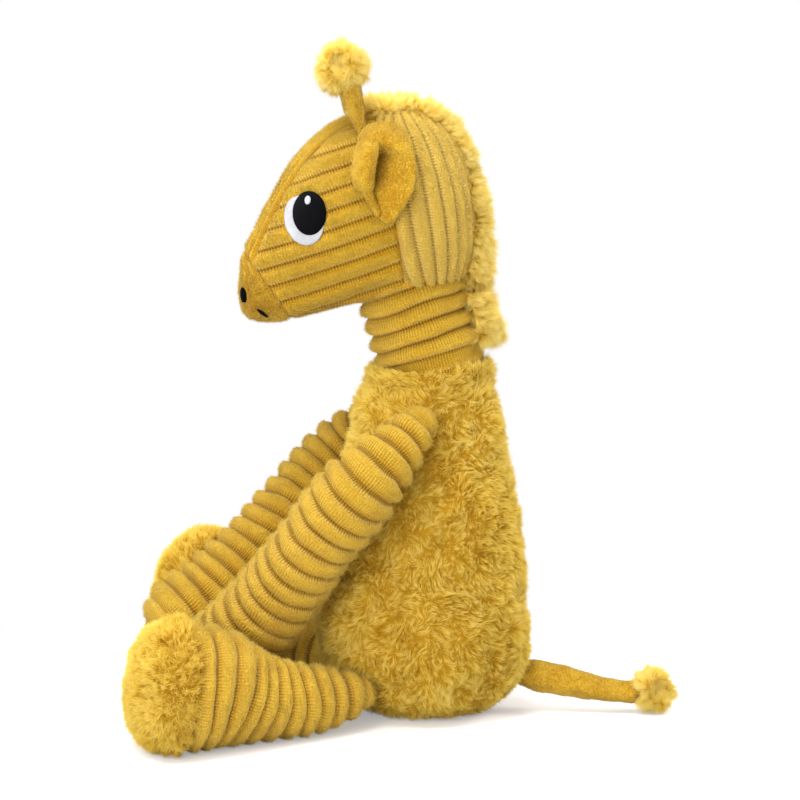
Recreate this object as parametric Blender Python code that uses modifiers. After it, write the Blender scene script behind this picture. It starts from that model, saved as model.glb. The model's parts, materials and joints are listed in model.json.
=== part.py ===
# Sitting plush giraffe, built as its sewn covers, fillings and embroidered trim.
# The giraffe faces -Y, its left side is +X, and it sits on the plane Z = 0.
import math

import bmesh
import bpy
import numpy
from mathutils import Matrix, Vector

for leftover in list(bpy.data.objects):
    bpy.data.objects.remove(leftover, do_unlink=True)

# Fits shared by every piece
gap = 0.0003                     # clearance between pieces that touch
floor_cut = 0.0005               # depth of the flat where a filled form stands
overrun = 0.004                  # how far a cutter passes what it cuts
cloth = 0.0025                   # ribbed plush with its pile pressed down
fur_cloth = 0.0030               # long-haired plush, backing and flattened pile
rib_height = 0.0009              # a rib's crest, or groove, from the mean surface

# Torso, a pear that leans back a little
torso_radius = 0.0533
torso_height = 0.1740
torso_lean = math.radians(1.1)
torso_width_share = 0.94
seat_seam_share = 0.1063
rim_share = 0.9684
pellet_level_share = 0.16
pellet_crown_share = 0.8
torso_shares = [
    (0.000, 0.0000), (0.320, 0.0003), (0.470, 0.0040), (0.560, 0.0144), (0.685, 0.0316),
    (0.816, 0.0603), (0.929, 0.1063), (0.994, 0.1753), (1.000, 0.2615), (0.981, 0.3477),
    (0.949, 0.4339), (0.912, 0.5201), (0.869, 0.6063), (0.820, 0.6925), (0.765, 0.7787),
    (0.702, 0.8649), (0.653, 0.9224), (0.600, 0.9684), (0.548, 1.0000)]
turned_sides = 24

# Neck, a ribbed tube on a ball that sits in the torso's top
neck_rise = 0.0070               # height of the neck's pivot over the torso
neck_pivot = Vector((0, 0.0033, torso_height + neck_rise))
neck_lean = math.radians(15)
neck_radius = 0.0280
neck_rib_pitch = 0.0087
neck_ribs = 5
neck_visible = 0.0290            # ribbed length between the torso and the head
neck_ball_shares = (-0.72, -0.52, -0.28, 0)
neck_opening_share = 0.62
neck_lining_share = 0.86
neck_lip_share = 0.72            # how far the torso's top folds in under the neck

# Head, sections along its length from the nose
nose_rise = 0.0228               # height of the nose's base over the torso
nose = Vector((0, -0.0920, torso_height + nose_rise))
head_length = 0.1180
head_width = 0.0860
head_height = 0.1050
head_roundness = 2.2
head_cloth = 0.0030
head_station_shares = (0, 0.008, 0.034, 0.076, 0.136, 0.22, 0.297, 0.39, 0.483, 0.61, 0.737,
                       0.83, 0.898, 0.949, 0.983, 1)
head_width_shares = (0, 0.093, 0.163, 0.22, 0.28, 0.35, 0.407, 0.459, 0.488, 0.5, 0.483,
                     0.436, 0.36, 0.267, 0.151, 0)
head_top_shares = (0.154, 0.22, 0.278, 0.35, 0.483, 0.669, 0.797, 0.902, 0.964, 0.997, 0.992,
                   0.945, 0.869, 0.754, 0.602, 0.469)
head_base_shares = (0.154, 0.088, 0.03, 0.007, 0, 0.011, 0.035, 0.064, 0.088, 0.097, 0.097,
                    0.111, 0.145, 0.211, 0.335, 0.469)
head_middle_share = (0.737, 0.545)
face_rib_pitch = 0.0090
face_rib_rise = math.radians(20)
face_columns = 32
face_low_share = (0.80, 0.10)
face_high_share = (0.50, 0.965)
back_ribs = 34
back_rows = 10
forehead_ribs = 6
forehead_columns = 36
forehead_centre_share = (0.46, 0.50)
forehead_half_width = 0.0150
forehead_nose_share = 0.55
chin_half_width = 0.0110
ear_seam_share = (0.695, 0.135)
ear_seam_lean = math.radians(9.6)
muzzle_seam_share = (0.140, 0.145)
muzzle_seam_lean = math.radians(35)
muzzle_centre_share = (0.330, 0.420)
muzzle_columns = 24
muzzle_rows = 18
lip_share = 0.2

# Manes, strips of long hair on the centre line
mane_width = 0.0180
mane_rise = 0.0090
mane_front_share = (0.530, 0.995)
mane_end_turn = math.radians(-46)
mane_rings = 14
mane_start_share = 0.35
mane_growth_share = 0.33
mane_arch_shares = ((-1, 0.45), (-0.7, 0.86), (0, 1), (0.7, 0.86), (1, 0.45))
mane_neck_shares = (0.10, 0.28, 0.48, 0.70, 1)

# Embroidered face, outlines seen from the side
stitch_lift = rib_height + 1.5 * gap
stitch_depth = 0.0009
stitch_columns = 52
stitch_rows = 26
eye_centre_share = (0.293, 0.520)
eye_width = 0.0164
eye_height = 0.0212
eye_tilt = math.radians(-8)
white_width = 0.0196
white_height = 0.0252
white_shift = (-0.0017, -0.0030)
glint_width = 0.0036
glint_height = 0.0046
glint_shift = (-0.0003, 0.0062)
nostril_width = 0.0030
nostril_height = 0.0072
nostril_share = (0.040, 0.155)
nostril_turn = math.radians(52)
mouth_width = 0.0064
mouth_height = 0.0020
mouth_share = (0.085, 0.045)
mouth_turn = math.radians(40)
mouth_tilt = math.radians(-42)
outline_sides = 18

# Ears, cupped leaves that hang beside the head
ear_root_share = (0.615, 0.905)
ear_length = 0.0460
ear_width = 0.0290
ear_cup = 0.0085
ear_cloth = 0.0032
ear_length_shares = (0, 0.12, 0.3, 0.5, 0.7, 0.86, 0.96, 1)
ear_width_shares = (0.4, 0.68, 0.94, 1, 0.84, 0.56, 0.3, 0.12)
ear_drift_shares = (0, -0.02, -0.06, -0.06, 0, 0.08, 0.13, 0.15)
ear_columns = 8

# Ossicones, stalks with a ball of long hair
ossicone_share = (0.515, 0.875)
ossicone_root_radius = 0.0036
ossicone_seat_share = -0.4
ossicone_radius = 0.0048
ossicone_length = 0.0240
ossicone_lean = math.radians(15)
ossicone_drift = math.radians(-7)
ossicone_step_shares = (0.3, 0.65, 1)
ossicone_swell_shares = (0.95, 1, 1)
tuft_radius = 0.0122
tuft_sink_share = 0.1

# Arms, curved ribbed clubs
shoulder_drop = 0.0240           # depth of the shoulder under the torso's top
shoulder_height = torso_height - shoulder_drop
shoulder_aim = Vector((1, -0.19))
shoulder_radius = 0.0115
arm_route = [
    Vector((0.0095, -0.0235, -0.0240)), Vector((0.0010, -0.0470, -0.0535)),
    Vector((-0.0140, -0.0660, -0.0830)), Vector((-0.0250, -0.0840, -0.1055)),
    Vector((-0.0310, -0.0970, -0.1175))]
arm_radii = (0.0150, 0.0178, 0.0195, 0.0210, 0.0215)
arm_rib_pitch = 0.0093
arm_raised_aim = Vector((0.30, -0.80, 0.52))
right_arm_lift = math.radians(8)

# Legs, ribbed cones that end in a long-haired sole
hip_height = 0.0175
hip_aim = Vector((0.757, -0.653))
hip_radius = 0.0090
leg_route = [
    Vector((0.0060, -0.0120, 0.0005)), Vector((0.0114, -0.0237, 0.0013)),
    Vector((0.0174, -0.0382, 0.0025)), Vector((0.0234, -0.0522, 0.0060)),
    Vector((0.0304, -0.0672, 0.0110)), Vector((0.0384, -0.0902, 0.0140))]
leg_radii = (0.0130, 0.0162, 0.0190, 0.0228, 0.0275, 0.0315)
leg_rib_pitch = 0.0086
sole_depth = 0.0165
sole_depth_shares = (0, 0.3, 0.6, 0.82, 0.95, 1)
sole_radius_shares = (1, 0.985, 0.86, 0.62, 0.34, 0.1)
right_leg_lift = math.radians(11)
right_leg_turn = math.radians(-6)
limb_sides = 10
limb_lining_sides = 8
plug_end_share = 0.8

# Tail, a stalk with a ball of long hair
tail_height = 0.0170
tail_aim = Vector((0.04, 1))
tail_radius = 0.0078
tail_route = [
    Vector((0.0040, 0.0120, -0.0015)), Vector((0.0080, 0.0315, -0.0055)),
    Vector((0.0108, 0.0475, -0.0070))]
tail_radii = (0.0075, 0.0065, 0.0056)
tail_tuft_radius = 0.0115
tail_tuft_seat_share = 0.75

giraffe = bpy.data.collections.new("plush_giraffe")
cutting = bpy.data.collections.new("cutters")
bpy.context.scene.collection.children.link(giraffe)
bpy.context.scene.collection.children.link(cutting)


def plush(name, colour, roughness):
    material = bpy.data.materials.new(name)
    material.use_nodes = True
    shader = material.node_tree.nodes["Principled BSDF"]
    shader.inputs["Base Color"].default_value = (*colour, 1)
    shader.inputs["Roughness"].default_value = roughness
    shader.inputs["Metallic"].default_value = 0
    return material


ribbed_plush = plush("ribbed_plush", (0.66, 0.40, 0.07), 0.85)
smooth_plush = plush("smooth_plush", (0.72, 0.45, 0.08), 0.90)
long_hair = plush("long_hair", (0.75, 0.50, 0.13), 0.95)
filling = plush("polyester_filling", (0.90, 0.89, 0.86), 1.0)
pellets = plush("pellet_bag_cloth", (0.82, 0.80, 0.76), 0.8)
black_thread = plush("black_thread", (0.010, 0.010, 0.016), 0.45)
white_thread = plush("white_thread", (0.86, 0.86, 0.87), 0.5)


def place(piece, material=None):
    for collection in list(piece.users_collection):
        collection.objects.unlink(piece)
    (giraffe if material else cutting).objects.link(piece)
    if material:
        piece.data.materials.clear()
        piece.data.materials.append(material)
        if piece.type == "MESH":
            piece.data.shade_smooth()
    else:
        piece.hide_render = True
        piece.display_type = "WIRE"
    return piece


def cut(piece, cutter, operation="DIFFERENCE"):
    boolean = piece.modifiers.new(cutter.name, "BOOLEAN")
    boolean.operation = operation
    boolean.solver = "EXACT"
    boolean.object = cutter
    return piece


def mesh_piece(name, shape, material=None):
    bmesh.ops.recalc_face_normals(shape, faces=shape.faces)
    mesh = bpy.data.meshes.new(name)
    shape.to_mesh(mesh)
    shape.free()
    return place(bpy.data.objects.new(name, mesh), material)


def box(name, low, high):
    shape = bmesh.new()
    bmesh.ops.create_cube(shape, size=1)
    size = Vector(high) - Vector(low)
    middle = (Vector(high) + Vector(low)) / 2
    for corner in shape.verts:
        corner.co = middle + corner.co * size
    return mesh_piece(name, shape)


def ball(name, radius, material=None, sides=24):
    shape = bmesh.new()
    bmesh.ops.create_uvsphere(shape, u_segments=sides, v_segments=sides // 2, radius=radius)
    return mesh_piece(name, shape, material)


def turned(name, profile, material=None):
    """A body of revolution whose profile runs from top to bottom on its outer side."""
    on_axis = profile[0][0] == 0
    loop = [] if on_axis else [(len(profile) - 1, 0)]
    mesh = bpy.data.meshes.new(name)
    edges = [(i, i + 1) for i in range(len(profile) - 1)] + loop
    mesh.from_pydata([(radius, 0, height) for radius, height in profile], edges, [])
    piece = place(bpy.data.objects.new(name, mesh), material)
    screw = piece.modifiers.new("turn", "SCREW")
    screw.steps = turned_sides
    screw.render_steps = turned_sides
    screw.use_merge_vertices = True
    screw.merge_threshold = gap / 10
    screw.use_smooth_shade = True
    return piece


def stack(name, rings, material=None, poles=None):
    """A closed loft through rings of equally many points, its ends flat or drawn to poles."""
    shape = bmesh.new()
    rows = [[shape.verts.new(point) for point in ring] for ring in rings]
    for low, high in zip(rows, rows[1:]):
        for i in range(len(low)):
            j = (i + 1) % len(low)
            shape.faces.new((low[i], low[j], high[j]))
            shape.faces.new((low[i], high[j], high[i]))
    for row, pole in zip((rows[0], rows[-1]), poles or (None, None)):
        if pole is None:
            shape.faces.new(row)
        else:
            tip = shape.verts.new(pole)
            for i in range(len(row)):
                shape.faces.new((row[i], row[(i + 1) % len(row)], tip))
    return mesh_piece(name, shape, material)


def tube(name, points, radii, material=None, sides=limb_sides):
    """A curve tube through the points, made a mesh so that it can be cut."""
    curve = bpy.data.curves.new(name, "CURVE")
    curve.dimensions = "3D"
    curve.bevel_depth = max(radii)
    curve.bevel_resolution = sides // 2 - 2
    curve.use_fill_caps = True
    line = curve.splines.new("POLY")
    line.points.add(len(points) - 1)
    for spot, point, radius in zip(line.points, points, radii):
        spot.co = (*point, 1)
        spot.radius = radius / max(radii)
    guide = bpy.data.objects.new(name + "_guide", curve)
    bpy.context.scene.collection.objects.link(guide)
    reading = guide.evaluated_get(bpy.context.evaluated_depsgraph_get())
    mesh = bpy.data.meshes.new_from_object(reading)
    bpy.data.objects.remove(guide, do_unlink=True)
    shape = bmesh.new()
    shape.from_mesh(mesh)
    bmesh.ops.remove_doubles(shape, verts=shape.verts, dist=gap / 10)
    bpy.data.meshes.remove(mesh)
    return mesh_piece(name, shape, material)


def smooth_table(at, places, values):
    """A cubic through a table's values, read at one place."""
    place_after = int(numpy.clip(numpy.searchsorted(places, at), 1, len(places) - 1))
    slopes = numpy.gradient(numpy.array(values, float), numpy.array(places, float))
    start, end = places[place_after - 1], places[place_after]
    run = end - start
    t = (at - start) / run
    curve = numpy.array([2 * t**3 - 3 * t**2 + 1, t**3 - 2 * t**2 + t,
                         3 * t**2 - 2 * t**3, t**3 - t**2])
    knots = numpy.array([values[place_after - 1], slopes[place_after - 1] * run,
                         values[place_after], slopes[place_after] * run])
    return float(curve @ knots)


def smooth_route(route, radii, steps_each=8):
    """Points and radii close together on a smooth line through a route."""
    places = list(range(len(route)))
    spots = numpy.linspace(0, len(route) - 1, (len(route) - 1) * steps_each + 1)
    columns = [[point[axis] for point in route] for axis in range(3)]
    line = [Vector([smooth_table(at, places, column) for column in columns]) for at in spots]
    return line, [smooth_table(at, places, radii) for at in spots]


def along(line, radii, distances):
    """Points and radii at distances measured along a dense line."""
    lengths = [0.0]
    for here, there in zip(line, line[1:]):
        lengths.append(lengths[-1] + (there - here).length)
    points = [Vector([numpy.interp(d, lengths, [p[axis] for p in line]) for axis in range(3)])
              for d in distances]
    return points, [float(numpy.interp(d, lengths, radii)) for d in distances]


def line_length(line):
    return sum((there - here).length for here, there in zip(line, line[1:]))


# Torso surface

def torso_outline(height, inset=0.0):
    places = [share * torso_height for _, share in torso_shares]
    radii = [share * torso_radius for share, _ in torso_shares]
    return float(numpy.interp(height + floor_cut, places, radii)) - inset


def torso_distance(point):
    """Distance from a point outside the torso to the nearest of many spots on its facets."""
    heights = numpy.linspace(0, torso_height * rim_share, 200)
    radii = numpy.array([torso_outline(height) for height in heights])
    half_facet = math.pi / turned_sides
    upright = Matrix.Rotation(torso_lean, 3, "X") @ point
    turns = math.atan2(upright.y, upright.x) + numpy.linspace(-3 * half_facet, 3 * half_facet, 61)
    flats = math.cos(half_facet) / numpy.cos(turns % (2 * half_facet) - half_facet)
    across = numpy.outer(radii, flats * numpy.cos(turns)) * torso_width_share
    ahead = numpy.outer(radii, flats * numpy.sin(turns))
    away = (across - upright.x)**2 + (ahead - upright.y)**2 + (heights[:, None] - upright.z)**2
    return math.sqrt(away.min())


def seat_on_torso(aim, height, radius):
    """The centre of a ball that lies one gap off the torso in a level direction."""
    direction = Vector((aim[0], aim[1], 0)).normalized()
    start = Vector((0, height * math.tan(torso_lean), height))
    near, far = torso_outline(height), 3 * torso_radius
    for _ in range(26):
        middle = (near + far) / 2
        if torso_distance(start + direction * middle) < radius + gap:
            near = middle
        else:
            far = middle
    return start + direction * far


# Head surface

head_shares = numpy.linspace(0, 1, 400)
head_half_widths, head_tops, head_bases = [
    numpy.array([smooth_table(share, head_station_shares, column) for share in head_shares]) * size
    for column, size in ((head_width_shares, head_width), (head_top_shares, head_height),
                         (head_base_shares, head_height))]


def head_level(points):
    """Below 1 inside the head, above 1 outside, for an array of points."""
    share = (points[:, 1] - nose.y) / head_length
    half_width = numpy.interp(share, head_shares, head_half_widths).clip(head_width / 10000)
    top = numpy.interp(share, head_shares, head_tops)
    base = numpy.interp(share, head_shares, head_bases)
    half_height = ((top - base) / 2).clip(head_height / 10000)
    wide = (abs(points[:, 0]) / half_width) ** head_roundness
    tall = (abs(points[:, 2] - nose.z - (top + base) / 2) / half_height) ** head_roundness
    return numpy.where((share < 0) | (share > 1), 2, wide + tall)


def head_points(starts, directions, lifts=0.0):
    """Where rays from inside the head meet its mean surface, moved out by their lifts."""
    directions = numpy.array([Vector(direction).normalized() for direction in directions])
    starts = numpy.array([Vector(start) for start in starts]) + numpy.zeros_like(directions)
    near = numpy.zeros(len(directions))
    far = numpy.full(len(directions), head_length)
    for _ in range(26):
        middle = (near + far) / 2
        inside = head_level(starts + directions * middle[:, None]) < 1
        near = numpy.where(inside, middle, near)
        far = numpy.where(inside, far, middle)
    spots = starts + directions * (far + lifts)[:, None]
    return [Vector(spot) for spot in spots]


def head_place(share, height_share):
    return Vector((0, nose.y + share * head_length, nose.z + height_share * head_height))


head_middle = head_place(*head_middle_share)


def head_side(y, z, lift=0.0):
    """The point on the head's left side at a given length and height."""
    return head_points([Vector((0, y, z))], [Vector((1, 0, 0))], lift)[0]


def head_normal(point):
    """The way square out of the head at a point on it."""
    step = head_length / 1000
    offsets = numpy.vstack([numpy.eye(3) * step, -numpy.eye(3) * step])
    levels = head_level(numpy.array([Vector(point)] * 6) + offsets)
    return Vector(levels[:3] - levels[3:]).normalized()


def compass(turn, climb):
    """A direction from a turn about the upright and a climb from the level."""
    return Vector((math.cos(turn) * math.cos(climb), math.sin(turn) * math.cos(climb), math.sin(climb)))


def head_poles(centre, lift):
    return head_points([centre], [Vector((0, 0, -1)), Vector((0, 0, 1))], lift)


def plain_head(name, lift, material=None, columns=24, rows=12, centre=head_middle):
    """The head without ribs, its lifts square to the surface abreast of the centre."""
    rings = []
    for row in range(1, rows):
        climb = math.pi * (row / rows - 1 / 2)
        aims = [compass(math.tau * column / columns, climb) for column in range(columns)]
        rings.append(head_points([centre], aims, lift))
    return stack(name, rings, material, head_poles(centre, lift))


def face_form(name, material):
    """Ribs that rise to the back: two level rings, lifted and sunk, to each rib."""
    sideways = Vector((1, 0, 0))
    along_rib = Vector((0, math.cos(face_rib_rise), math.sin(face_rib_rise)))
    across = Vector((0, -math.sin(face_rib_rise), math.cos(face_rib_rise)))
    low_end = head_place(*face_low_share)
    high_end = head_place(*face_high_share)
    rise = (high_end - low_end).dot(across)
    count = 2 * round(rise / face_rib_pitch)
    rings = []
    for row in range(1, count):
        centre = low_end.lerp(high_end, row / count)
        lift = rib_height if row % 2 else -rib_height
        turns = [math.tau * column / face_columns for column in range(face_columns)]
        aims = [sideways * math.cos(turn) + along_rib * 2 * math.sin(turn) for turn in turns]
        rings.append(head_points([centre], aims, lift))
    return stack(name, rings, material)


def back_form(name, material):
    """Ribs that run up and over like the lines of a melon."""
    rings = []
    turns = [math.tau * column / (2 * back_ribs) for column in range(2 * back_ribs)]
    ridges = numpy.array([rib_height, -rib_height] * back_ribs)
    for row in range(1, back_rows):
        climb = math.pi * (row / back_rows - 1 / 2)
        aims = [compass(turn, climb) for turn in turns]
        rings.append(head_points([head_middle], aims, ridges * math.cos(climb)))
    return stack(name, rings, material, head_poles(head_middle, 0))


def forehead_form(name, material):
    """A slice of the head whose ribs run from the muzzle to the crown."""
    count = 2 * forehead_ribs
    reach = forehead_half_width * 1.2
    rings = []
    for row in range(count + 1):
        across = (2 * row / count - 1) * reach
        lift = -rib_height if row % 2 else rib_height
        centre = head_place(*forehead_centre_share) + Vector((across, 0, 0))
        turns = [math.tau * column / forehead_columns for column in range(forehead_columns)]
        aims = [Vector((0, math.cos(turn), math.sin(turn))) for turn in turns]
        rings.append(head_points([centre], aims, lift))
    return stack(name, rings, material)


def muzzle_form(name, material):
    """The nose again with closer rings, which lie round its length."""
    centre = head_place(*muzzle_centre_share)
    rings = []
    for row in range(1, muzzle_rows):
        climb = math.pi * (row / muzzle_rows - 1 / 2)
        level = [compass(math.tau * column / muzzle_columns, climb) for column in range(muzzle_columns)]
        rings.append(head_points([centre], [Vector((aim.x, aim.z, aim.y)) for aim in level]))
    poles = head_points([centre], [Vector((0, -1, 0)), Vector((0, 1, 0))])
    return stack(name, rings, material, poles)


def leaning_box(name, low, high, origin, lean):
    """A box set out from an origin and leaned about the X axis there."""
    cutter = box(name, low, high)
    cutter.location = origin
    cutter.rotation_euler = (lean, 0, 0)
    return cutter


def strip_cutter(name, back_width, front_width, low, high):
    """An upright strip of the head that narrows toward the nose."""
    cutter = box(name, (-1, -1, -1), (1, 1, 1))
    for corner in cutter.data.vertices:
        width = back_width if corner.co.y > 0 else front_width
        corner.co = (corner.co.x * width, nose.y + (head_length if corner.co.y > 0 else 0),
                     high if corner.co.z > 0 else low)
    return cutter


def head_covers():
    reach = head_length
    ear_seam = head_place(*ear_seam_share)
    muzzle_seam = head_place(*muzzle_seam_share)
    inner = plain_head("head_hollow", -head_cloth)
    middle_height = head_place(0, lip_share).z
    above = nose.z + head_height + reach / 4
    below = nose.z - reach / 4
    behind = leaning_box("behind_ears", (-reach, -gap / 2, -reach), (reach, reach, reach),
                         ear_seam, ear_seam_lean)
    ahead = leaning_box("ahead_of_ears", (-reach, -2 * reach, -reach), (reach, gap / 2, reach),
                        ear_seam, ear_seam_lean)
    muzzle_zone = leaning_box("muzzle_zone", (-reach, -reach, -reach), (reach, gap / 2, reach),
                              muzzle_seam, muzzle_seam_lean)
    rear_of_muzzle = leaning_box("rear_of_muzzle", (-reach, -gap / 2, -reach),
                                 (reach, 2 * reach, reach), muzzle_seam, muzzle_seam_lean)
    nose_width = forehead_half_width * forehead_nose_share
    forehead_zone = strip_cutter("forehead_zone", forehead_half_width + gap, nose_width + gap,
                                 middle_height, above)
    forehead_strip = strip_cutter("forehead_strip", forehead_half_width, nose_width,
                                  middle_height, above)
    chin_zone = strip_cutter("chin_zone", chin_half_width + gap, chin_half_width + gap,
                             below, middle_height)
    chin_strip = strip_cutter("chin_strip", chin_half_width, chin_half_width, below, middle_height)
    neck_hole = neck_bore("neck_hole")
    left_half = box("left_half", (gap / 2, nose.y - reach, below), (reach, reach, above))
    right_half = box("right_half", (-reach, nose.y - reach, below), (-gap / 2, reach, above))

    for side, half in (("left", left_half), ("right", right_half)):
        face = face_form("face_panel_" + side, ribbed_plush)
        for cutter in (behind, muzzle_zone, forehead_zone, chin_zone, inner, neck_hole):
            cut(face, cutter)
        cut(face, half, "INTERSECT")
        back = back_form("back_panel_" + side, ribbed_plush)
        for cutter in (ahead, inner, neck_hole):
            cut(back, cutter)
        cut(back, half, "INTERSECT")

    forehead = forehead_form("forehead_panel", ribbed_plush)
    cut(forehead, forehead_strip, "INTERSECT")
    for cutter in (behind, muzzle_zone, inner):
        cut(forehead, cutter)
    chin = plain_head("chin_panel", 0, smooth_plush)
    cut(chin, chin_strip, "INTERSECT")
    for cutter in (behind, muzzle_zone, inner, neck_hole):
        cut(chin, cutter)
    muzzle = muzzle_form("muzzle_panel", smooth_plush)
    for cutter in (rear_of_muzzle, inner):
        cut(muzzle, cutter)
    stuffing = plain_head("head_stuffing", -head_cloth - 2 * gap, filling)
    cut(stuffing, neck_hole)


# Neck

def on_neck(piece):
    piece.location = neck_pivot
    piece.rotation_euler = (neck_lean, 0, 0)
    return piece


def neck_bore(name):
    radius = (neck_radius + rib_height + gap) / math.cos(math.pi / turned_sides)
    top = neck_ribs * neck_rib_pitch + gap
    return on_neck(turned(name, [(0, top), (radius, top), (radius, 0), (0, 0)]))


def neck_profile():
    ball_part = [(neck_radius * math.sqrt(1 - share**2), neck_radius * share)
                 for share in neck_ball_shares]
    ribs = []
    for step in range(1, 2 * neck_ribs):
        lift = rib_height if step % 2 else -rib_height
        ribs.append((neck_radius + lift, step * neck_rib_pitch / 2))
    top = neck_ribs * neck_rib_pitch
    return ball_part + ribs + [(neck_radius - rib_height, top)]


def neck_inner_profile(inset):
    low = neck_radius * neck_ball_shares[0]
    top = neck_ribs * neck_rib_pitch
    rim = neck_radius * neck_opening_share
    wide = neck_radius - rib_height - inset
    return [(rim - inset + cloth, low), (wide * neck_lining_share, low / 2), (wide, 0), (wide, top)]


def neck_pieces():
    outer = neck_profile()
    inner = neck_inner_profile(cloth)
    cover = turned("neck_cover", list(reversed(outer)) + inner, ribbed_plush)
    on_neck(cover)
    plug = neck_inner_profile(cloth + gap)
    top = plug[-1][1] - gap
    sphere = neck_radius - gap
    low_rim = plug[0][0]
    bottom = [(low_rim, -math.sqrt(sphere**2 - low_rim**2)),
              (low_rim / 2, -math.sqrt(sphere**2 - low_rim**2 / 4)), (0, -sphere)]
    profile = [(0, top), (plug[-1][0], top)] + list(reversed(plug[:-1])) + bottom
    on_neck(turned("neck_stuffing", profile, filling))


# Torso

def on_torso(piece):
    piece.scale = (torso_width_share, 1, 1)
    piece.rotation_euler = (-torso_lean, 0, 0)
    return piece


def torso_steps(low_share, high_share, inset, every=1):
    """Profile points from a high share of the height down to a low one."""
    shares = [share for _, share in torso_shares if low_share < share < high_share][::every]
    shares = [low_share] + shares + [high_share]
    heights = [share * torso_height - floor_cut for share in reversed(shares)]
    return [(torso_outline(height, inset), height) for height in heights]


def torso_pieces():
    floor = box("floor_below", (-torso_radius, -torso_radius, -torso_radius),
                (torso_radius, torso_radius, 0))
    cup = ball("neck_cup", (neck_radius + gap) / math.cos(math.pi / turned_sides) ** 2, sides=turned_sides)
    cup.location = neck_pivot
    seam = gap / 2 / torso_height
    outer = torso_steps(seat_seam_share + seam, rim_share, 0)
    inner = torso_steps(seat_seam_share + seam, rim_share, fur_cloth, 2)
    rim = outer[0][1]
    inner[0] = (inner[0][0], rim - fur_cloth)
    lip = [(neck_radius * neck_lip_share, rim - fur_cloth), (neck_radius * neck_lip_share, rim)]
    cover = on_torso(turned("body_cover", outer + list(reversed(inner)) + lip, long_hair))
    cut(cover, cup)

    seat_outer = torso_steps(0, seat_seam_share - seam, 0)
    seat_level = seat_outer[0][1]
    seat_inner = [(max(radius - fur_cloth, 0), min(height + fur_cloth, seat_level))
                  for radius, height in torso_steps(0, seat_seam_share - seam, 0)]
    seat_inner = [spot for spot in seat_inner if spot[1] < seat_level]
    lining = [(seat_outer[0][0] - fur_cloth, seat_level)] + seat_inner
    profile = list(reversed(lining)) + seat_outer
    seat = on_torso(turned("seat_panel", profile, long_hair))
    cut(seat, floor)

    level = pellet_level_share * torso_height
    bag_low = [(max(radius - fur_cloth - gap, 0), height + fur_cloth + gap)
               for radius, height in torso_steps(0, seat_seam_share, 0)]
    bag_low = [spot for spot in bag_low if spot[1] < seat_level]
    side = torso_outline(level, fur_cloth + gap)
    side = min(side, torso_outline(seat_level, fur_cloth + gap))
    bag_top = [(0, level), (side * pellet_crown_share, level), (side, level - fur_cloth)]
    on_torso(turned("pellet_bag", bag_top + bag_low, pellets))

    body = torso_steps(pellet_level_share, rim_share, fur_cloth + 2 * gap, 2)
    body[-1] = (body[-1][0], level + gap)
    body[0] = (body[0][0], rim - fur_cloth - gap)
    stuffing = on_torso(turned("body_stuffing", [(0, body[0][1])] + body + [(0, level + gap)], filling))
    cut(stuffing, cup)


# Manes

def mane_head():
    skin = rib_height + gap
    front = head_place(*mane_front_share) - head_middle
    start = math.atan2(front.z, front.y)
    rings = []
    for number in range(mane_rings + 1):
        turn = start + (mane_end_turn - start) * number / mane_rings
        up = Vector((0, math.cos(turn), math.sin(turn)))
        point = head_points([head_middle], [up])[0]
        swell = min(1, mane_start_share + mane_growth_share * number)
        arch = mane_arch(skin, swell)
        half = arch[-1][0]
        outline = [(-half, -3 * skin)] + arch + [(half, -3 * skin)]
        rings.append([point + up * rise + Vector((across, 0, 0)) for across, rise in outline])
    piece = stack("head_mane", rings, long_hair)
    below = leaning_box("below_head_mane", (-mane_width, -head_length, -head_height),
                        (mane_width, head_length, neck_visible + gap), neck_pivot, neck_lean)
    cut(piece, below)
    cut(piece, plain_head("mane_bed", skin, None, 48, 24))


def mane_arch(skin, swell):
    """Places across the strip and their heights over what the strip is sewn to."""
    return [(across * mane_width / 2, skin + mane_rise * swell * share)
            for across, share in mane_arch_shares]


def mane_neck():
    skin = neck_radius + rib_height + gap
    rings = []
    for number, share in enumerate(mane_neck_shares):
        swell = min(1, mane_start_share + mane_growth_share * (number + 1))
        arch = mane_arch(skin, swell)
        half = arch[-1][0]
        sole = [(across, math.sqrt(skin**2 - across**2)) for across in (half, half / 2, 0, -half / 2, -half)]
        rings.append([Vector((across, out, share * neck_visible)) for across, out in arch + sole])
    on_neck(stack("neck_mane", rings, long_hair))


# Embroidered face

def oval_cutter(name, width, height, centre, turn, tilt, reach):
    """An oval bar that points sideways out of the head, turned toward the nose."""
    shape = bmesh.new()
    bmesh.ops.create_cone(shape, cap_ends=True, segments=outline_sides, radius1=1 / 2,
                          radius2=1 / 2, depth=1)
    for corner in shape.verts:
        corner.co = (corner.co.x * width, corner.co.y * height, (corner.co.z + 1 / 2) * reach)
    cutter = mesh_piece(name, shape)
    stand = Matrix(((0, 0, 1), (1, 0, 0), (0, 1, 0)))
    facing = Matrix.Rotation(-turn, 3, "Z") @ Matrix.Rotation(tilt, 3, "X") @ stand
    cutter.matrix_world = Matrix.Translation(centre) @ facing.to_4x4()
    return cutter


def mirrored(cutter):
    twin = cutter.copy()
    twin.data = cutter.data.copy()
    twin.name = cutter.name + "_right"
    cutting.objects.link(twin)
    twin.matrix_world = Matrix.Diagonal((-1, 1, 1, 1)) @ cutter.matrix_world
    twin.data.transform(twin.matrix_world)
    twin.data.flip_normals()
    twin.matrix_world = Matrix.Identity(4)
    return twin


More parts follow.
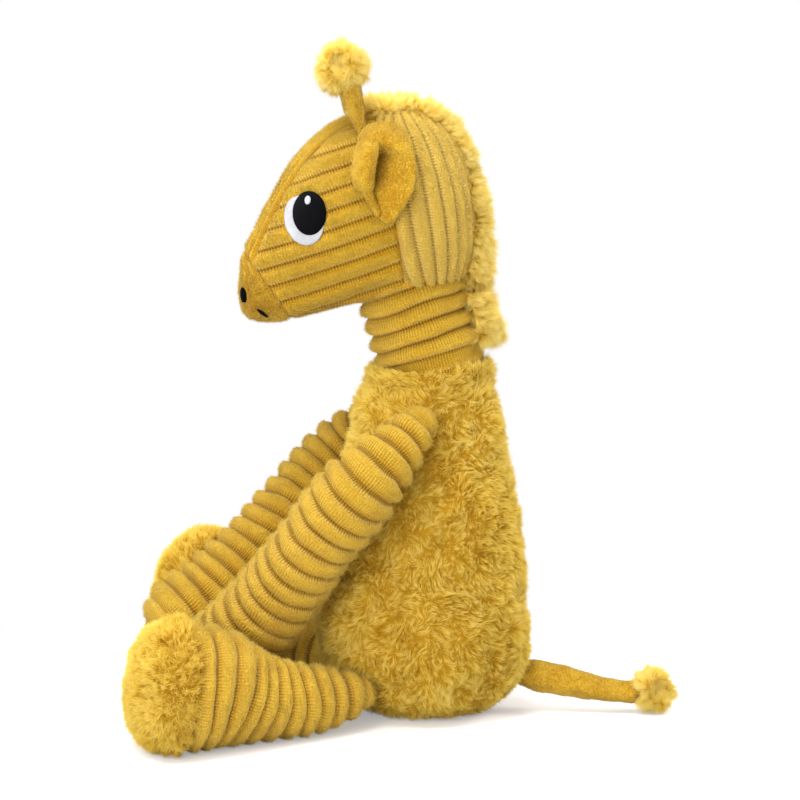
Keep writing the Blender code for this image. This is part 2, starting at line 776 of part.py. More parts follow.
def face_marks():
    eye = head_place(*eye_centre_share)
    nose_core = head_place(*muzzle_centre_share)

    def shell(name, lift, centre):
        return plain_head(name, lift, None, stitch_columns, stitch_rows, centre)

    outer = shell("stitch_outside", stitch_lift + stitch_depth, eye)
    inner = shell("stitch_inside", stitch_lift, eye)
    glint_out = shell("glint_outside", stitch_lift + 2 * stitch_depth + gap, eye)
    glint_in = shell("glint_inside", stitch_lift + stitch_depth + gap, eye)
    low_outer = shell("low_stitch_outside", 2 * gap + stitch_depth, nose_core)
    low_inner = shell("low_stitch_inside", 2 * gap, nose_core)
    reach = head_width
    shift = Vector((0, white_shift[0], white_shift[1]))
    spark = Vector((0, glint_shift[0], glint_shift[1]))
    nostril = head_place(*nostril_share)
    mouth = head_place(*mouth_share)
    black = oval_cutter("pupil_outline", eye_width, eye_height, eye, 0, eye_tilt, reach)
    around = oval_cutter("pupil_margin", eye_width + 2 * gap, eye_height + 2 * gap, eye, 0, eye_tilt, reach)
    white = oval_cutter("white_outline", white_width, white_height, eye + shift, 0, eye_tilt, reach)
    dot = oval_cutter("glint_outline", glint_width, glint_height, eye + spark, 0, eye_tilt, reach)
    slot = oval_cutter("nostril_outline", nostril_width, nostril_height, nostril, nostril_turn, 0, reach)
    smile = oval_cutter("mouth_outline", mouth_width, mouth_height, mouth, mouth_turn, mouth_tilt, reach)
    pieces = [("eye_pupil", black, outer, inner, black_thread, None),
              ("eye_white", white, outer, inner, white_thread, around),
              ("eye_glint", dot, glint_out, glint_in, white_thread, None),
              ("nostril", slot, low_outer, low_inner, black_thread, None),
              ("mouth_stitch", smile, low_outer, low_inner, black_thread, None)]
    for name, outline, cover, hollow, thread, margin in pieces:
        for side in ("left", "right"):
            bar = outline if side == "left" else mirrored(outline)
            patch = bpy.data.objects.new(name + "_" + side, bar.data.copy())
            patch.matrix_world = bar.matrix_world
            place(patch, thread)
            cut(patch, cover, "INTERSECT")
            cut(patch, hollow)
            if margin:
                cut(patch, margin if side == "left" else mirrored(margin))


# Ears

def ear(side, sign):
    root = head_place(*ear_root_share)
    base = head_side(root.y, root.z, rib_height + 2 * gap)
    hinge = Vector((base.x, root.y, root.z))
    rows = []
    for length_share, width_share, drift in zip(ear_length_shares, ear_width_shares, ear_drift_shares):
        row = []
        for column in range(ear_columns + 1):
            across = 2 * column / ear_columns - 1
            y = root.y + (across * width_share / 2 + drift) * ear_width
            z = root.z - length_share * ear_length
            x = head_side(y, z, rib_height + 2 * gap).x
            x = max(x, base.x) + ear_cup * width_share * across**2
            row.append(Vector((sign * (x - hinge.x), y - hinge.y, z - hinge.z)))
        rows.append(row)
    shape = bmesh.new()
    grid = [[shape.verts.new(point) for point in row] for row in rows]
    for upper, lower in zip(grid, grid[1:]):
        for i in range(ear_columns):
            shape.faces.new((upper[i], upper[i + 1], lower[i + 1], lower[i]))
    mesh = bpy.data.meshes.new("ear_" + side)
    shape.to_mesh(mesh)
    shape.free()
    if mesh.polygons[0].normal.x * sign < 0:
        mesh.flip_normals()
    piece = place(bpy.data.objects.new("ear_" + side, mesh), smooth_plush)
    piece.location = (sign * hinge.x, hinge.y, hinge.z)
    solid = piece.modifiers.new("cloth", "SOLIDIFY")
    solid.thickness = ear_cloth
    solid.offset = 1
    solid.use_even_offset = True
    return piece


# Ossicones

def ossicone(side, sign):
    base = head_place(*ossicone_share)
    skin = head_side(base.y, base.z)
    pivot = skin + head_normal(skin) * (rib_height * ossicone_seat_share + gap + ossicone_root_radius)
    up = Matrix.Rotation(ossicone_lean, 3, "X") @ Matrix.Rotation(ossicone_drift, 3, "Y") @ Vector((0, 0, 1))
    up.x *= sign
    tilt = [ossicone_root_radius * math.sin(math.radians(a)) for a in (-75, -40)]
    steps = tilt + [0] + [ossicone_length * share for share in ossicone_step_shares]
    radii = [ossicone_root_radius * math.cos(math.radians(a)) for a in (75, 40)]
    radii += [ossicone_root_radius] + [ossicone_radius * share for share in ossicone_swell_shares]
    points = [up * step for step in steps]
    stalk = tube("ossicone_" + side, points, radii, smooth_plush, 12)
    stalk.location = (sign * pivot.x, pivot.y, pivot.z)
    reach = ossicone_length + gap + math.sqrt(tuft_radius**2 - ossicone_radius**2)
    tuft = ball("ossicone_tuft_" + side, tuft_radius, long_hair, 16)
    tuft.location = stalk.location + up * (reach - tuft_radius * tuft_sink_share)
    sleeve = tube("ossicone_sleeve_" + side, [point * (1 + gap / ossicone_length) for point in points[2:]],
                  [radius + gap for radius in radii[2:]], None, 12)
    sleeve.location = stalk.location
    cut(tuft, sleeve)
    return stalk


# Limbs

def ribbed(line, radii, pitch, start, end):
    """Distances and rib lifts between two places on a limb."""
    count = max(2, 2 * round((end - start) / pitch))
    distances = [start + (end - start) * step / count for step in range(count + 1)]
    points, widths = along(line, radii, distances)
    widths = [width + (rib_height if step % 2 else -rib_height) for step, width in enumerate(widths)]
    return points, widths


def rounded_start(line, radius):
    """A ball end centred on the start of a line."""
    back = (line[0] - line[1]).normalized()
    angles = [math.radians(a) for a in (78, 50, 24)]
    return [line[0] + back * radius * math.sin(a) for a in angles], [radius * math.cos(a) for a in angles]


def rounded_end(line, radius):
    forward = (line[-1] - line[-2]).normalized()
    angles = [math.radians(a) for a in (24, 46, 66, 82)]
    points = [line[-1] + forward * radius * math.sin(a) for a in angles]
    return points, [radius * math.cos(a) for a in angles]


def side_of(points, sign):
    return [Vector((sign * point.x, point.y, point.z)) for point in points]


def turn_axis(first, second, sign):
    axis = first.cross(second).normalized()
    return Vector((axis.x, sign * axis.y, sign * axis.z))


def hang(piece, pivot, axis, angle, turn=0):
    swing = Matrix.Rotation(turn, 4, "Z") @ Matrix.Rotation(angle, 4, axis)
    piece.matrix_world = Matrix.Translation(pivot) @ swing
    return piece


def arm(side, sign, lift):
    pivot = seat_on_torso(shoulder_aim, shoulder_height, shoulder_radius)
    line, radii = smooth_route([Vector((0, 0, 0))] + arm_route, [shoulder_radius, *arm_radii])
    line = side_of(line, sign)
    length = line_length(line)
    start_points, start_radii = rounded_start(line, shoulder_radius)
    end_points, end_radii = rounded_end(line, radii[-1] - rib_height)
    body_points, body_radii = ribbed(line, radii, arm_rib_pitch, 0, length)
    body_radii[0] = shoulder_radius
    cover = tube("arm_cover_" + side, start_points + body_points + end_points,
                 start_radii + body_radii + end_radii, ribbed_plush)
    wall = cloth + rib_height
    distances = [length * step / 5 for step in range(6)]
    points, widths = along(line, radii, distances)
    back = (line[0] - line[1]).normalized()
    throat = shoulder_radius / 3
    hollow_points = [line[0] + back * (shoulder_radius + overrun), line[0] + back * throat] + points[1:]
    hollow_radii = [throat, throat] + [width - wall for width in widths[1:]]
    tip_points, tip_radii = rounded_end(line, radii[-1] - wall)
    hollow_points += tip_points
    hollow_radii += tip_radii
    hollow = tube("arm_hollow_" + side, hollow_points, hollow_radii, None, limb_lining_sides)
    cut(cover, hollow)
    plug_points = [line[0] + back * shoulder_radius * plug_end_share] + hollow_points[1:-1]
    plug_radii = [radius - gap for radius in hollow_radii[:-1]]
    plug = tube("arm_stuffing_" + side, plug_points, plug_radii, filling, limb_lining_sides)
    place_at = Vector((sign * pivot.x, pivot.y, pivot.z))
    axis = turn_axis(arm_route[-1], arm_raised_aim, sign)
    for piece in (cover, hollow, plug):
        hang(piece, place_at, axis, lift)
    return place_at, axis


def leg(side, sign, lift, turn):
    pivot = seat_on_torso(hip_aim, hip_height, hip_radius)
    line, radii = smooth_route([Vector((0, 0, 0))] + leg_route, [hip_radius, *leg_radii])
    line = side_of(line, sign)
    length = line_length(line)
    start_points, start_radii = rounded_start(line, hip_radius)
    body_points, body_radii = ribbed(line, radii, leg_rib_pitch, 0, length)
    body_radii[0] = hip_radius
    body_radii[-1] = radii[-1]
    cover = tube("leg_cover_" + side, start_points + body_points, start_radii + body_radii, ribbed_plush)
    wall = cloth + rib_height
    distances = [length * step / 6 for step in range(1, 7)]
    points, widths = along(line, radii, distances)
    forward = (line[-1] - line[-2]).normalized()
    hollow_points = points + [line[-1] + forward * overrun]
    hollow_radii = [width - wall for width in widths] + [widths[-1] - wall]
    hollow = tube("leg_hollow_" + side, hollow_points, hollow_radii, None, limb_lining_sides)
    cut(cover, hollow)
    plug_points = [points[0] + (points[1] - points[0]).normalized() * gap] + points[1:]
    plug = tube("leg_stuffing_" + side, plug_points, [width - wall - gap for width in widths],
                filling, limb_lining_sides)
    sole_start = line[-1] + forward * gap
    sole_points = [sole_start + forward * sole_depth * share for share in sole_depth_shares]
    sole = tube("foot_sole_" + side, sole_points, [radii[-1] * share for share in sole_radius_shares],
                long_hair, limb_sides + 2)
    place_at = Vector((sign * pivot.x, pivot.y, pivot.z))
    axis = turn_axis(Vector((leg_route[-1].x, leg_route[-1].y, 0)), Vector((0, 0, 1)), sign)
    for piece in (cover, hollow, plug, sole):
        hang(piece, place_at, axis, lift, turn)
    ground = box("floor_by_" + side + "_leg", (-2 * head_length, -2 * head_length, -torso_radius),
                 (2 * head_length, 2 * head_length, 0))
    cut(cover, ground)
    cut(sole, ground)
    return place_at, axis


def tail():
    pivot = seat_on_torso(tail_aim, tail_height, tail_radius)
    line, radii = smooth_route([Vector((0, 0, 0))] + tail_route, [tail_radius, *tail_radii], 3)
    start_points, start_radii = rounded_start(line, tail_radius)
    stalk = tube("tail_stalk", start_points + line, start_radii + radii, smooth_plush)
    stalk.location = pivot
    forward = (line[-1] - line[-2]).normalized()
    tuft = ball("tail_tuft", tail_tuft_radius, long_hair, 18)
    tip = pivot + line[-1] + forward * tail_tuft_radius * tail_tuft_seat_share
    tuft.location = (tip.x, tip.y, tail_tuft_radius - floor_cut)
    sleeve = tube("tail_sleeve", line[1:] + [line[-1] + forward * gap],
                  [radius + gap for radius in radii[1:]] + [radii[-1] + gap])
    sleeve.location = pivot
    ground = box("floor_by_tail", (-torso_radius, 0, -torso_radius), (2 * torso_radius, 4 * torso_radius, 0))
    cut(tuft, sleeve)
    cut(tuft, ground)
    return pivot


torso_pieces()
neck_pieces()
head_covers()
mane_head()
mane_neck()
face_marks()
for side_name, side_sign in (("left", 1), ("right", -1)):
    ear(side_name, side_sign)
    ossicone(side_name, side_sign)
arm("left", 1, 0)
arm("right", -1, right_arm_lift)
leg("left", 1, 0, 0)
leg("right", -1, right_leg_lift, right_leg_turn)
tail()
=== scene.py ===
import itertools
import json
import math

import bpy
import numpy as np
from mathutils import Matrix, Vector, kdtree


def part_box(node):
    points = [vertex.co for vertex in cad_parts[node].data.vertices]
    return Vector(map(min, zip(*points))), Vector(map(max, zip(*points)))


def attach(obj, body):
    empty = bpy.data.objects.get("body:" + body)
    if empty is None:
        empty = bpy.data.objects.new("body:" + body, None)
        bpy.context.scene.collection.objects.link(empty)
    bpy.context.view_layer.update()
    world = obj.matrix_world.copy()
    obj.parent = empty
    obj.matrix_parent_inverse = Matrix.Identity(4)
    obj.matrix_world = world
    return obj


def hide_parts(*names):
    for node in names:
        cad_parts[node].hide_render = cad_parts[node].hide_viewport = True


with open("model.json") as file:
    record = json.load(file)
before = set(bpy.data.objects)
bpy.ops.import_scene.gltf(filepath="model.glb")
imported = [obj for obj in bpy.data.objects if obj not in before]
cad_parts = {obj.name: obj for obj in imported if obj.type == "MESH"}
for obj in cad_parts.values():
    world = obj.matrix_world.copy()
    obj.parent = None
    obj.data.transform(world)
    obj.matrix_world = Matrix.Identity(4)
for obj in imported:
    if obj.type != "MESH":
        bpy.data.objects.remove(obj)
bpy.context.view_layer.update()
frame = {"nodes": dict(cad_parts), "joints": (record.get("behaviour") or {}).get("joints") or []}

mm = 0.001
floorLevel = 0.3 * mm                     # lowest place of a fibre over the floor
mirror = {"left": 1, "right": -1}


# general helpers

def pick(*pieces):                        # object mode, with nothing but these selected
    if bpy.context.object and bpy.context.object.mode != "OBJECT":
        bpy.ops.object.mode_set(mode="OBJECT")
    bpy.ops.object.select_all(action="DESELECT")
    for piece in pieces:
        piece.select_set(True)
        bpy.context.view_layer.objects.active = piece


def begin(name, primitive, **settings):
    pick()
    primitive(**settings)
    bpy.context.object.name = name
    return bpy.context.object


def link(name, data):
    thing = bpy.data.objects.new(name, data)
    bpy.context.scene.collection.objects.link(thing)
    return thing


def edit(piece):                          # edit mode, with everything selected
    pick(piece)
    bpy.ops.object.mode_set(mode="EDIT")
    bpy.ops.mesh.select_all(action="SELECT")


def turnOut(piece, doubles=0):            # faces outwards and shaded smooth
    edit(piece)
    if doubles:
        bpy.ops.mesh.remove_doubles(threshold=doubles)
    bpy.ops.mesh.normals_make_consistent(inside=False)
    bpy.ops.object.mode_set(mode="OBJECT")
    bpy.ops.object.shade_smooth()


def modify(piece, kind, **settings):      # adds one modifier and applies it
    pick(piece)
    modifier = piece.modifiers.new("step", kind)
    for key, value in settings.items():
        setattr(modifier, key, value)
    bpy.ops.object.modifier_apply(modifier=modifier.name)


def read(data, key, width=1, kind=np.float32):
    flat = np.zeros(len(data) * width, kind)
    data.foreach_get(key, flat)
    flat = flat.astype(float if kind is np.float32 else kind)
    return flat.reshape(-1, width) if width > 1 else flat


def readPoints(mesh):
    return read(mesh.vertices, "co", 3)


def readNormals(mesh):
    return read(mesh.vertex_normals, "vector", 3)


def writePoints(mesh, points):
    mesh.vertices.foreach_set("co", np.ascontiguousarray(points, dtype=np.float32).ravel())
    mesh.update()


def unit(vectors):
    return vectors / np.maximum(np.linalg.norm(vectors, axis=-1, keepdims=True), 1e-12)


def smoothStep(low, high, values):
    t = np.clip((values - low) / (high - low), 0, 1)
    return t * t * (3 - 2 * t)


def ramp(low, high, lengths):             # the same, from low mm to high mm
    return smoothStep(low * mm, high * mm, lengths)


hashPrimes = np.array([73856093, 19349663, 83492791])


def cloud(points, size, seed=0):          # soft random values from -1 to 1, in lumps of about size mm
    shift = seed * np.array([17.31, 7.77, 3.19]) + np.array([91.7, 53.2, 77.1])
    place = points / (size * mm) + shift
    cell = np.floor(place).astype(np.int64)
    part = place - cell
    part = part * part * (3 - 2 * part)
    total = np.zeros(len(points))
    for corner in itertools.product((0, 1), repeat=3):
        code = np.bitwise_xor.reduce((cell + np.array(corner)) * hashPrimes, axis=1)
        code = (code ^ (code >> 13)) * 1274126177 & 0x7fffffff
        value = ((code ^ (code >> 16)) & 0xffff) / 32767.5 - 1
        total += value * np.prod(np.where(np.array(corner) == 1, part, 1 - part), axis=1)
    return total


def swirl(points, size, seed=0):          # three clouds at once, as a vector
    return np.stack([cloud(points, size, seed + n) for n in (0, 1, 2)], axis=1)


def setAttribute(mesh, name, values):
    layer = mesh.attributes.get(name) or mesh.attributes.new(name, "FLOAT", "POINT")
    layer.data.foreach_set("value", np.ascontiguousarray(values, dtype=np.float32))


def getAttribute(mesh, name):
    layer = mesh.attributes.get(name)
    return read(layer.data, "value") if layer else np.zeros(len(mesh.vertices))


def loopTotals(mesh):
    starts = read(mesh.polygons, "loop_start", 1, np.int32)
    return starts, np.diff(np.append(starts, len(mesh.loops)))


def cornerPoints(mesh):
    return read(mesh.loops, "vertex_index", 1, np.int32)


def unwrap(mesh, around, full):           # a closed ring's last faces count on past its start
    starts, totals = loopTotals(mesh)
    top = np.repeat(np.maximum.reduceat(around, starts), totals)
    return np.where(top - around > full / 2, around + full, around)


def setCloth(mesh, u, v):                 # the weave's own map, a value for each corner
    layer = mesh.uv_layers.get("cloth") or mesh.uv_layers.new(name="cloth")
    layer.data.foreach_set("uv", np.stack([u, v], axis=1).astype(np.float32).ravel())


def smoothTable(at, places, values):      # a cubic through a table, for an array of places
    places, values, at = (np.asarray(x, float) for x in (places, values, at))
    after = np.clip(np.searchsorted(places, at), 1, len(places) - 1)
    slopes = np.gradient(values, places)
    run = places[after] - places[after - 1]
    t = (at - places[after - 1]) / run
    return (values[after - 1] * (2 * t**3 - 3 * t**2 + 1) + values[after] * (3 * t**2 - 2 * t**3)
            + slopes[after - 1] * run * (t**3 - 2 * t**2 + t) + slopes[after] * run * (t**3 - t**2))


# shader maths and finishes

# the plush tones: light and edge also serve as painted highlights, deep as painted shade
plushTone = {
    "deep": (0.165, 0.060, 0.0010),
    "low": (0.480, 0.225, 0.005),
    "mid": (0.690, 0.365, 0.012),
    "light": (0.850, 0.540, 0.050),
    "edge": (0.960, 0.760, 0.230)}


class Wire:                               # a shader socket that takes part in sums
    def __init__(self, nodes, socket):
        self.nodes, self.socket = nodes, socket

    def do(self, operation, *values, clamp=False):
        return self.nodes.math(operation, self, *values, clamp=clamp)

    def __add__(self, other): return self.nodes.math("ADD", self, other)
    def __radd__(self, other): return self.nodes.math("ADD", other, self)
    def __sub__(self, other): return self.nodes.math("SUBTRACT", self, other)
    def __rsub__(self, other): return self.nodes.math("SUBTRACT", other, self)
    def __mul__(self, other): return self.nodes.math("MULTIPLY", self, other)
    def __rmul__(self, other): return self.nodes.math("MULTIPLY", other, self)


class Nodes:
    def __init__(self, tree):
        self.tree = tree

    def node(self, kind, settings=None, sockets=None, output=0):
        node = self.tree.nodes.new("ShaderNode" + kind)
        for key, value in (settings or {}).items():
            if key == "stops":            # a ramp's first and last stop, then those between
                for element, (place, colour) in zip(node.color_ramp.elements[:], value):
                    element.position, element.color = place, (*colour, 1)
                for place, colour in value[2:]:
                    node.color_ramp.elements.new(place).color = (*colour, 1)
            else:
                setattr(node, key, value)
        for key, value in (sockets or {}).items():
            self.feed(node.inputs[key], value)
        return Wire(self, node.outputs[output])

    def feed(self, socket, value):
        if isinstance(value, Wire):
            self.tree.links.new(value.socket, socket)
        else:
            socket.default_value = value

    def math(self, operation, *values, clamp=False):
        return self.node("Math", {"operation": operation, "use_clamp": clamp}, dict(enumerate(values)))

    def mix(self, factor, first, second):     # a colour is a wire, a tone's name, or three numbers
        first, second = (c if isinstance(c, Wire) else (*plushTone.get(c, c), 1) for c in (first, second))
        return self.node("Mix", {"data_type": "RGBA"}, {0: factor, 6: first, 7: second}, 2)

    def value(self, name):                # a number stored on the points
        return self.node("Attribute", {"attribute_name": name}, None, 2)

    def place(self):                      # object coordinates
        return self.node("TexCoord", output=3)

    def noise(self, scale, detail=2.0, rough=0.5):
        return self.node("TexNoise", None, {"Vector": self.place(), "Scale": scale, "Detail": detail,
                                            "Roughness": rough})

    def steps(self, low, high, value):    # from 0 at low to 1 at high
        return self.node("MapRange", {"interpolation_type": "SMOOTHSTEP"},
                         {"Value": value, "From Min": low, "From Max": high})

    def cloth(self):                      # across and along the weave
        place = self.node("UVMap", {"uv_map": "cloth"})
        return [self.node("SeparateXYZ", None, {0: place}, n) for n in (0, 1)]

    def wave(self, turns):                # from 0 to 1 and back, once a turn
        return (turns * math.tau).do("COSINE") * 0.5 + 0.5


class Finish(Nodes):
    def __init__(self, name, **constants):
        self.material = bpy.data.materials.new(name)
        self.material.use_nodes = True
        super().__init__(self.material.node_tree)
        self.surface = self.tree.nodes["Principled BSDF"]
        for key, value in constants.items():
            self.put(key.replace("_", " "), value)

    def put(self, socket, value):
        self.feed(self.surface.inputs[socket], value)

    def bump(self, height, distance, strength=1.0):
        self.put("Normal", self.node("Bump", None, {"Height": height, "Distance": distance, "Strength": strength}))


def plushFinish(name, roughness, sheen):
    return Finish(name, Roughness=roughness, Sheen_Weight=sheen, Sheen_Roughness=0.35,
                  Sheen_Tint=(1.0, 0.82, 0.26, 1), Specular_IOR_Level=0.10)


def makeRibbedPlush():                    # each rib: brushed or bare knit, and a dotted groove beside it
    f = plushFinish("ribbedPlush", 0.80, 0.42)
    rib, tip, tint, bare = (f.value(name) for name in ("rib", "tip", "tint", "bare"))
    across, along = f.cloth()
    phase = along.do("FRACT")             # 0 and 1 are the rib's two grooves
    fine, patch = f.steps(0.32, 0.68, f.noise(1000, 3, 0.6)), f.steps(0.3, 0.7, f.noise(60))
    # the knit: each stitch painted lighter, the gaps between stitches painted with shade
    columns = f.wave(across + (f.noise(110) - 0.5) * 1.6)
    rows = f.wave((along + (f.noise(160) - 0.5) * 0.16) * 8)
    stitch = f.steps(0.12, 0.60, columns) * (0.50 + f.steps(0.1, 0.7, rows) * 0.50)
    beside = (1 - f.steps(0.12, 0.26, phase)) + f.steps(0.78, 0.90, phase)
    zone = f.steps(0.26, 0.46, phase) * (1 - f.steps(0.88, 0.97, phase))
    # ridge: a painted highlight along the flank that rises out of each groove
    ridge = f.steps(0.04, 0.10, phase) * (1 - f.steps(0.16, 0.30, phase))
    knit = (bare * zone * (0.35 + patch * 0.65)).do("MAXIMUM", beside * 0.75)
    # painted shade in the grooves, dotted between the columns, and a painted highlight on the crests
    groove, crest = 1 - f.steps(0.04, 0.50, rib), f.steps(0.55, 0.95, rib)
    colour = f.mix(fine * 0.45 + patch * 0.55, "low", "mid")
    for share, tone in ((crest * (0.30 + fine * 0.45 + patch * 0.2), "light"),
                        (ridge * (0.15 + fine * 0.30), "edge"),
                        (knit * stitch * 0.55, "light"), (knit * (1 - stitch) * 0.52, "deep"),
                        (groove * (0.50 + (1 - columns) * 0.45), "deep"), (tip * 0.55 + tint * 0.28, "edge")):
        colour = f.mix(share, colour, tone)
    f.put("Base Color", colour)
    f.bump(fine * (0.9 - knit * 0.5) + knit * stitch, 0.7 * mm)
    return f.material


def makeSmoothPlush():
    f = plushFinish("smoothPlush", 0.82, 0.55)
    fine = f.steps(0.32, 0.68, f.noise(1100, 3, 0.6))
    patch, lay = f.noise(75, 3, 0.55), f.noise(260)
    colour = f.mix(f.steps(0.28, 0.78, fine * 0.25 + patch * 0.45 + lay * 0.30), "low", "light")
    # painted light at the fibre tips, and each piece's painted light carried in tint
    colour = f.mix(f.value("tip") * (0.40 + f.value("tint") * 0.25), colour, "edge")
    # bare mixes toward deep: painted shade inside the ear's fold, and darker random patches on muzzle and chin
    f.put("Base Color", f.mix(f.value("bare") * 0.85, colour, "deep"))
    f.bump(fine * 0.6 + lay * 0.8, 0.6 * mm, 0.9)
    return f.material


def makeLongHair():
    f = plushFinish("longHair", 0.80, 0.35)
    # painted shade down in the fur: dark at the roots and on the skin between them, lighter toward the tips
    stops = [(0.0, (0.225, 0.091, 0.004)), (1.0, (0.930, 0.770, 0.265)), (0.30, (0.550, 0.314, 0.017)),
             (0.60, (0.830, 0.592, 0.092))]
    shade = f.value("tip") * 0.56 + f.value("tint") * 0.21 + f.noise(50, 3, 0.55) * 0.40 - 0.01
    f.put("Base Color", f.node("ValToRGB", {"stops": stops}, {0: shade}))
    return f.material


def makeThread(name, dark, light):
    f = Finish(name, Roughness=0.6, Specular_IOR_Level=0.06)
    thread, wear = f.wave(f.cloth()[0]), f.noise(400)
    # painted light on each thread's crown, painted shade between threads
    f.put("Base Color", f.mix(f.steps(0.1, 0.9, thread * 0.6 + wear * 0.4), dark, light))
    f.put("Roughness", 0.55 + wear * 0.2)
    f.bump(thread, 0.2 * mm, 0.8)
    return f.material


def makeFilling():
    f = Finish("polyesterFilling", Roughness=0.95)
    fluff = f.noise(260, 4, 0.65)
    f.put("Base Color", f.mix(fluff, (0.72, 0.71, 0.68), (0.93, 0.92, 0.90)))
    f.bump(fluff, 1.2 * mm, 0.9)
    return f.material


def makePelletCloth():
    f = Finish("pelletBagCloth", Roughness=0.8)
    beads = f.node("TexVoronoi", {"feature": "F1"}, {"Vector": f.place(), "Scale": 420.0})
    # painted shade between the pellets, lighter over each one
    f.put("Base Color", f.mix(f.steps(0.0, 0.9, beads), (0.90, 0.88, 0.83), (0.68, 0.66, 0.60)))
    f.bump(1 - beads, 0.8 * mm, 0.7)
    return f.material


finishes = {
    "ribbed_plush": makeRibbedPlush(), "smooth_plush": makeSmoothPlush(), "long_hair": makeLongHair(),
    "filling": makeFilling(), "pellets": makePelletCloth(),
    "black_thread": makeThread("blackThread", (0.0005, 0.0005, 0.001), (0.002, 0.002, 0.004)),
    "white_thread": makeThread("whiteThread", (0.42, 0.43, 0.46), (0.76, 0.76, 0.79))}
print("finishes made")


# pile: every fibre is a spike of three sides, and the skin under it stays in the same piece

piles = {                                 # lengths in mm, rises in radians from the skin
    # pale paints a piece's pile lighter or darker for the light it gets; bright lessens the painted shade at the
    # roots
    "any": {"uneven": 0.25, "riseSpread": 0.15, "riseLumps": 0, "lumps": 0, "lumpSize": 9, "clump": 0,
            "pale": 0, "bright": 0},
    "short": {"width": 0.18, "riseSpread": 0.25, "uneven": 0.4, "clump": 1.1},
    "smooth": {"length": 1.1, "width": 0.20, "rise": 0.6, "stray": 0.5, "soft": 0.85},
    "fur": {"width": 0.30, "rise": 0.85, "riseSpread": 0.2, "stray": 0.5, "clump": 1.7, "pull": 0.70, "lumpSize": 5},
    "tuft": {"width": 0.28, "rise": 0.95, "riseSpread": 0.25, "riseLumps": 0.4, "lumps": 0.35, "clump": 1.9,
             "pull": 0.68, "stray": 0.4, "soft": 0.50, "pale": 0.9},
    "mane": {"length": 6.6, "width": 0.28, "rise": 1.0, "riseSpread": 0.3, "riseLumps": 0.45, "lumps": 0.4,
             "lumpSize": 6, "clump": 2.0, "pull": 0.68, "stray": 0.45, "soft": 0.50, "pale": 1.0}}


def combed(aim, amount, size, seed):
    return lambda root, normal: np.array(aim) + amount * swirl(root, size, seed)


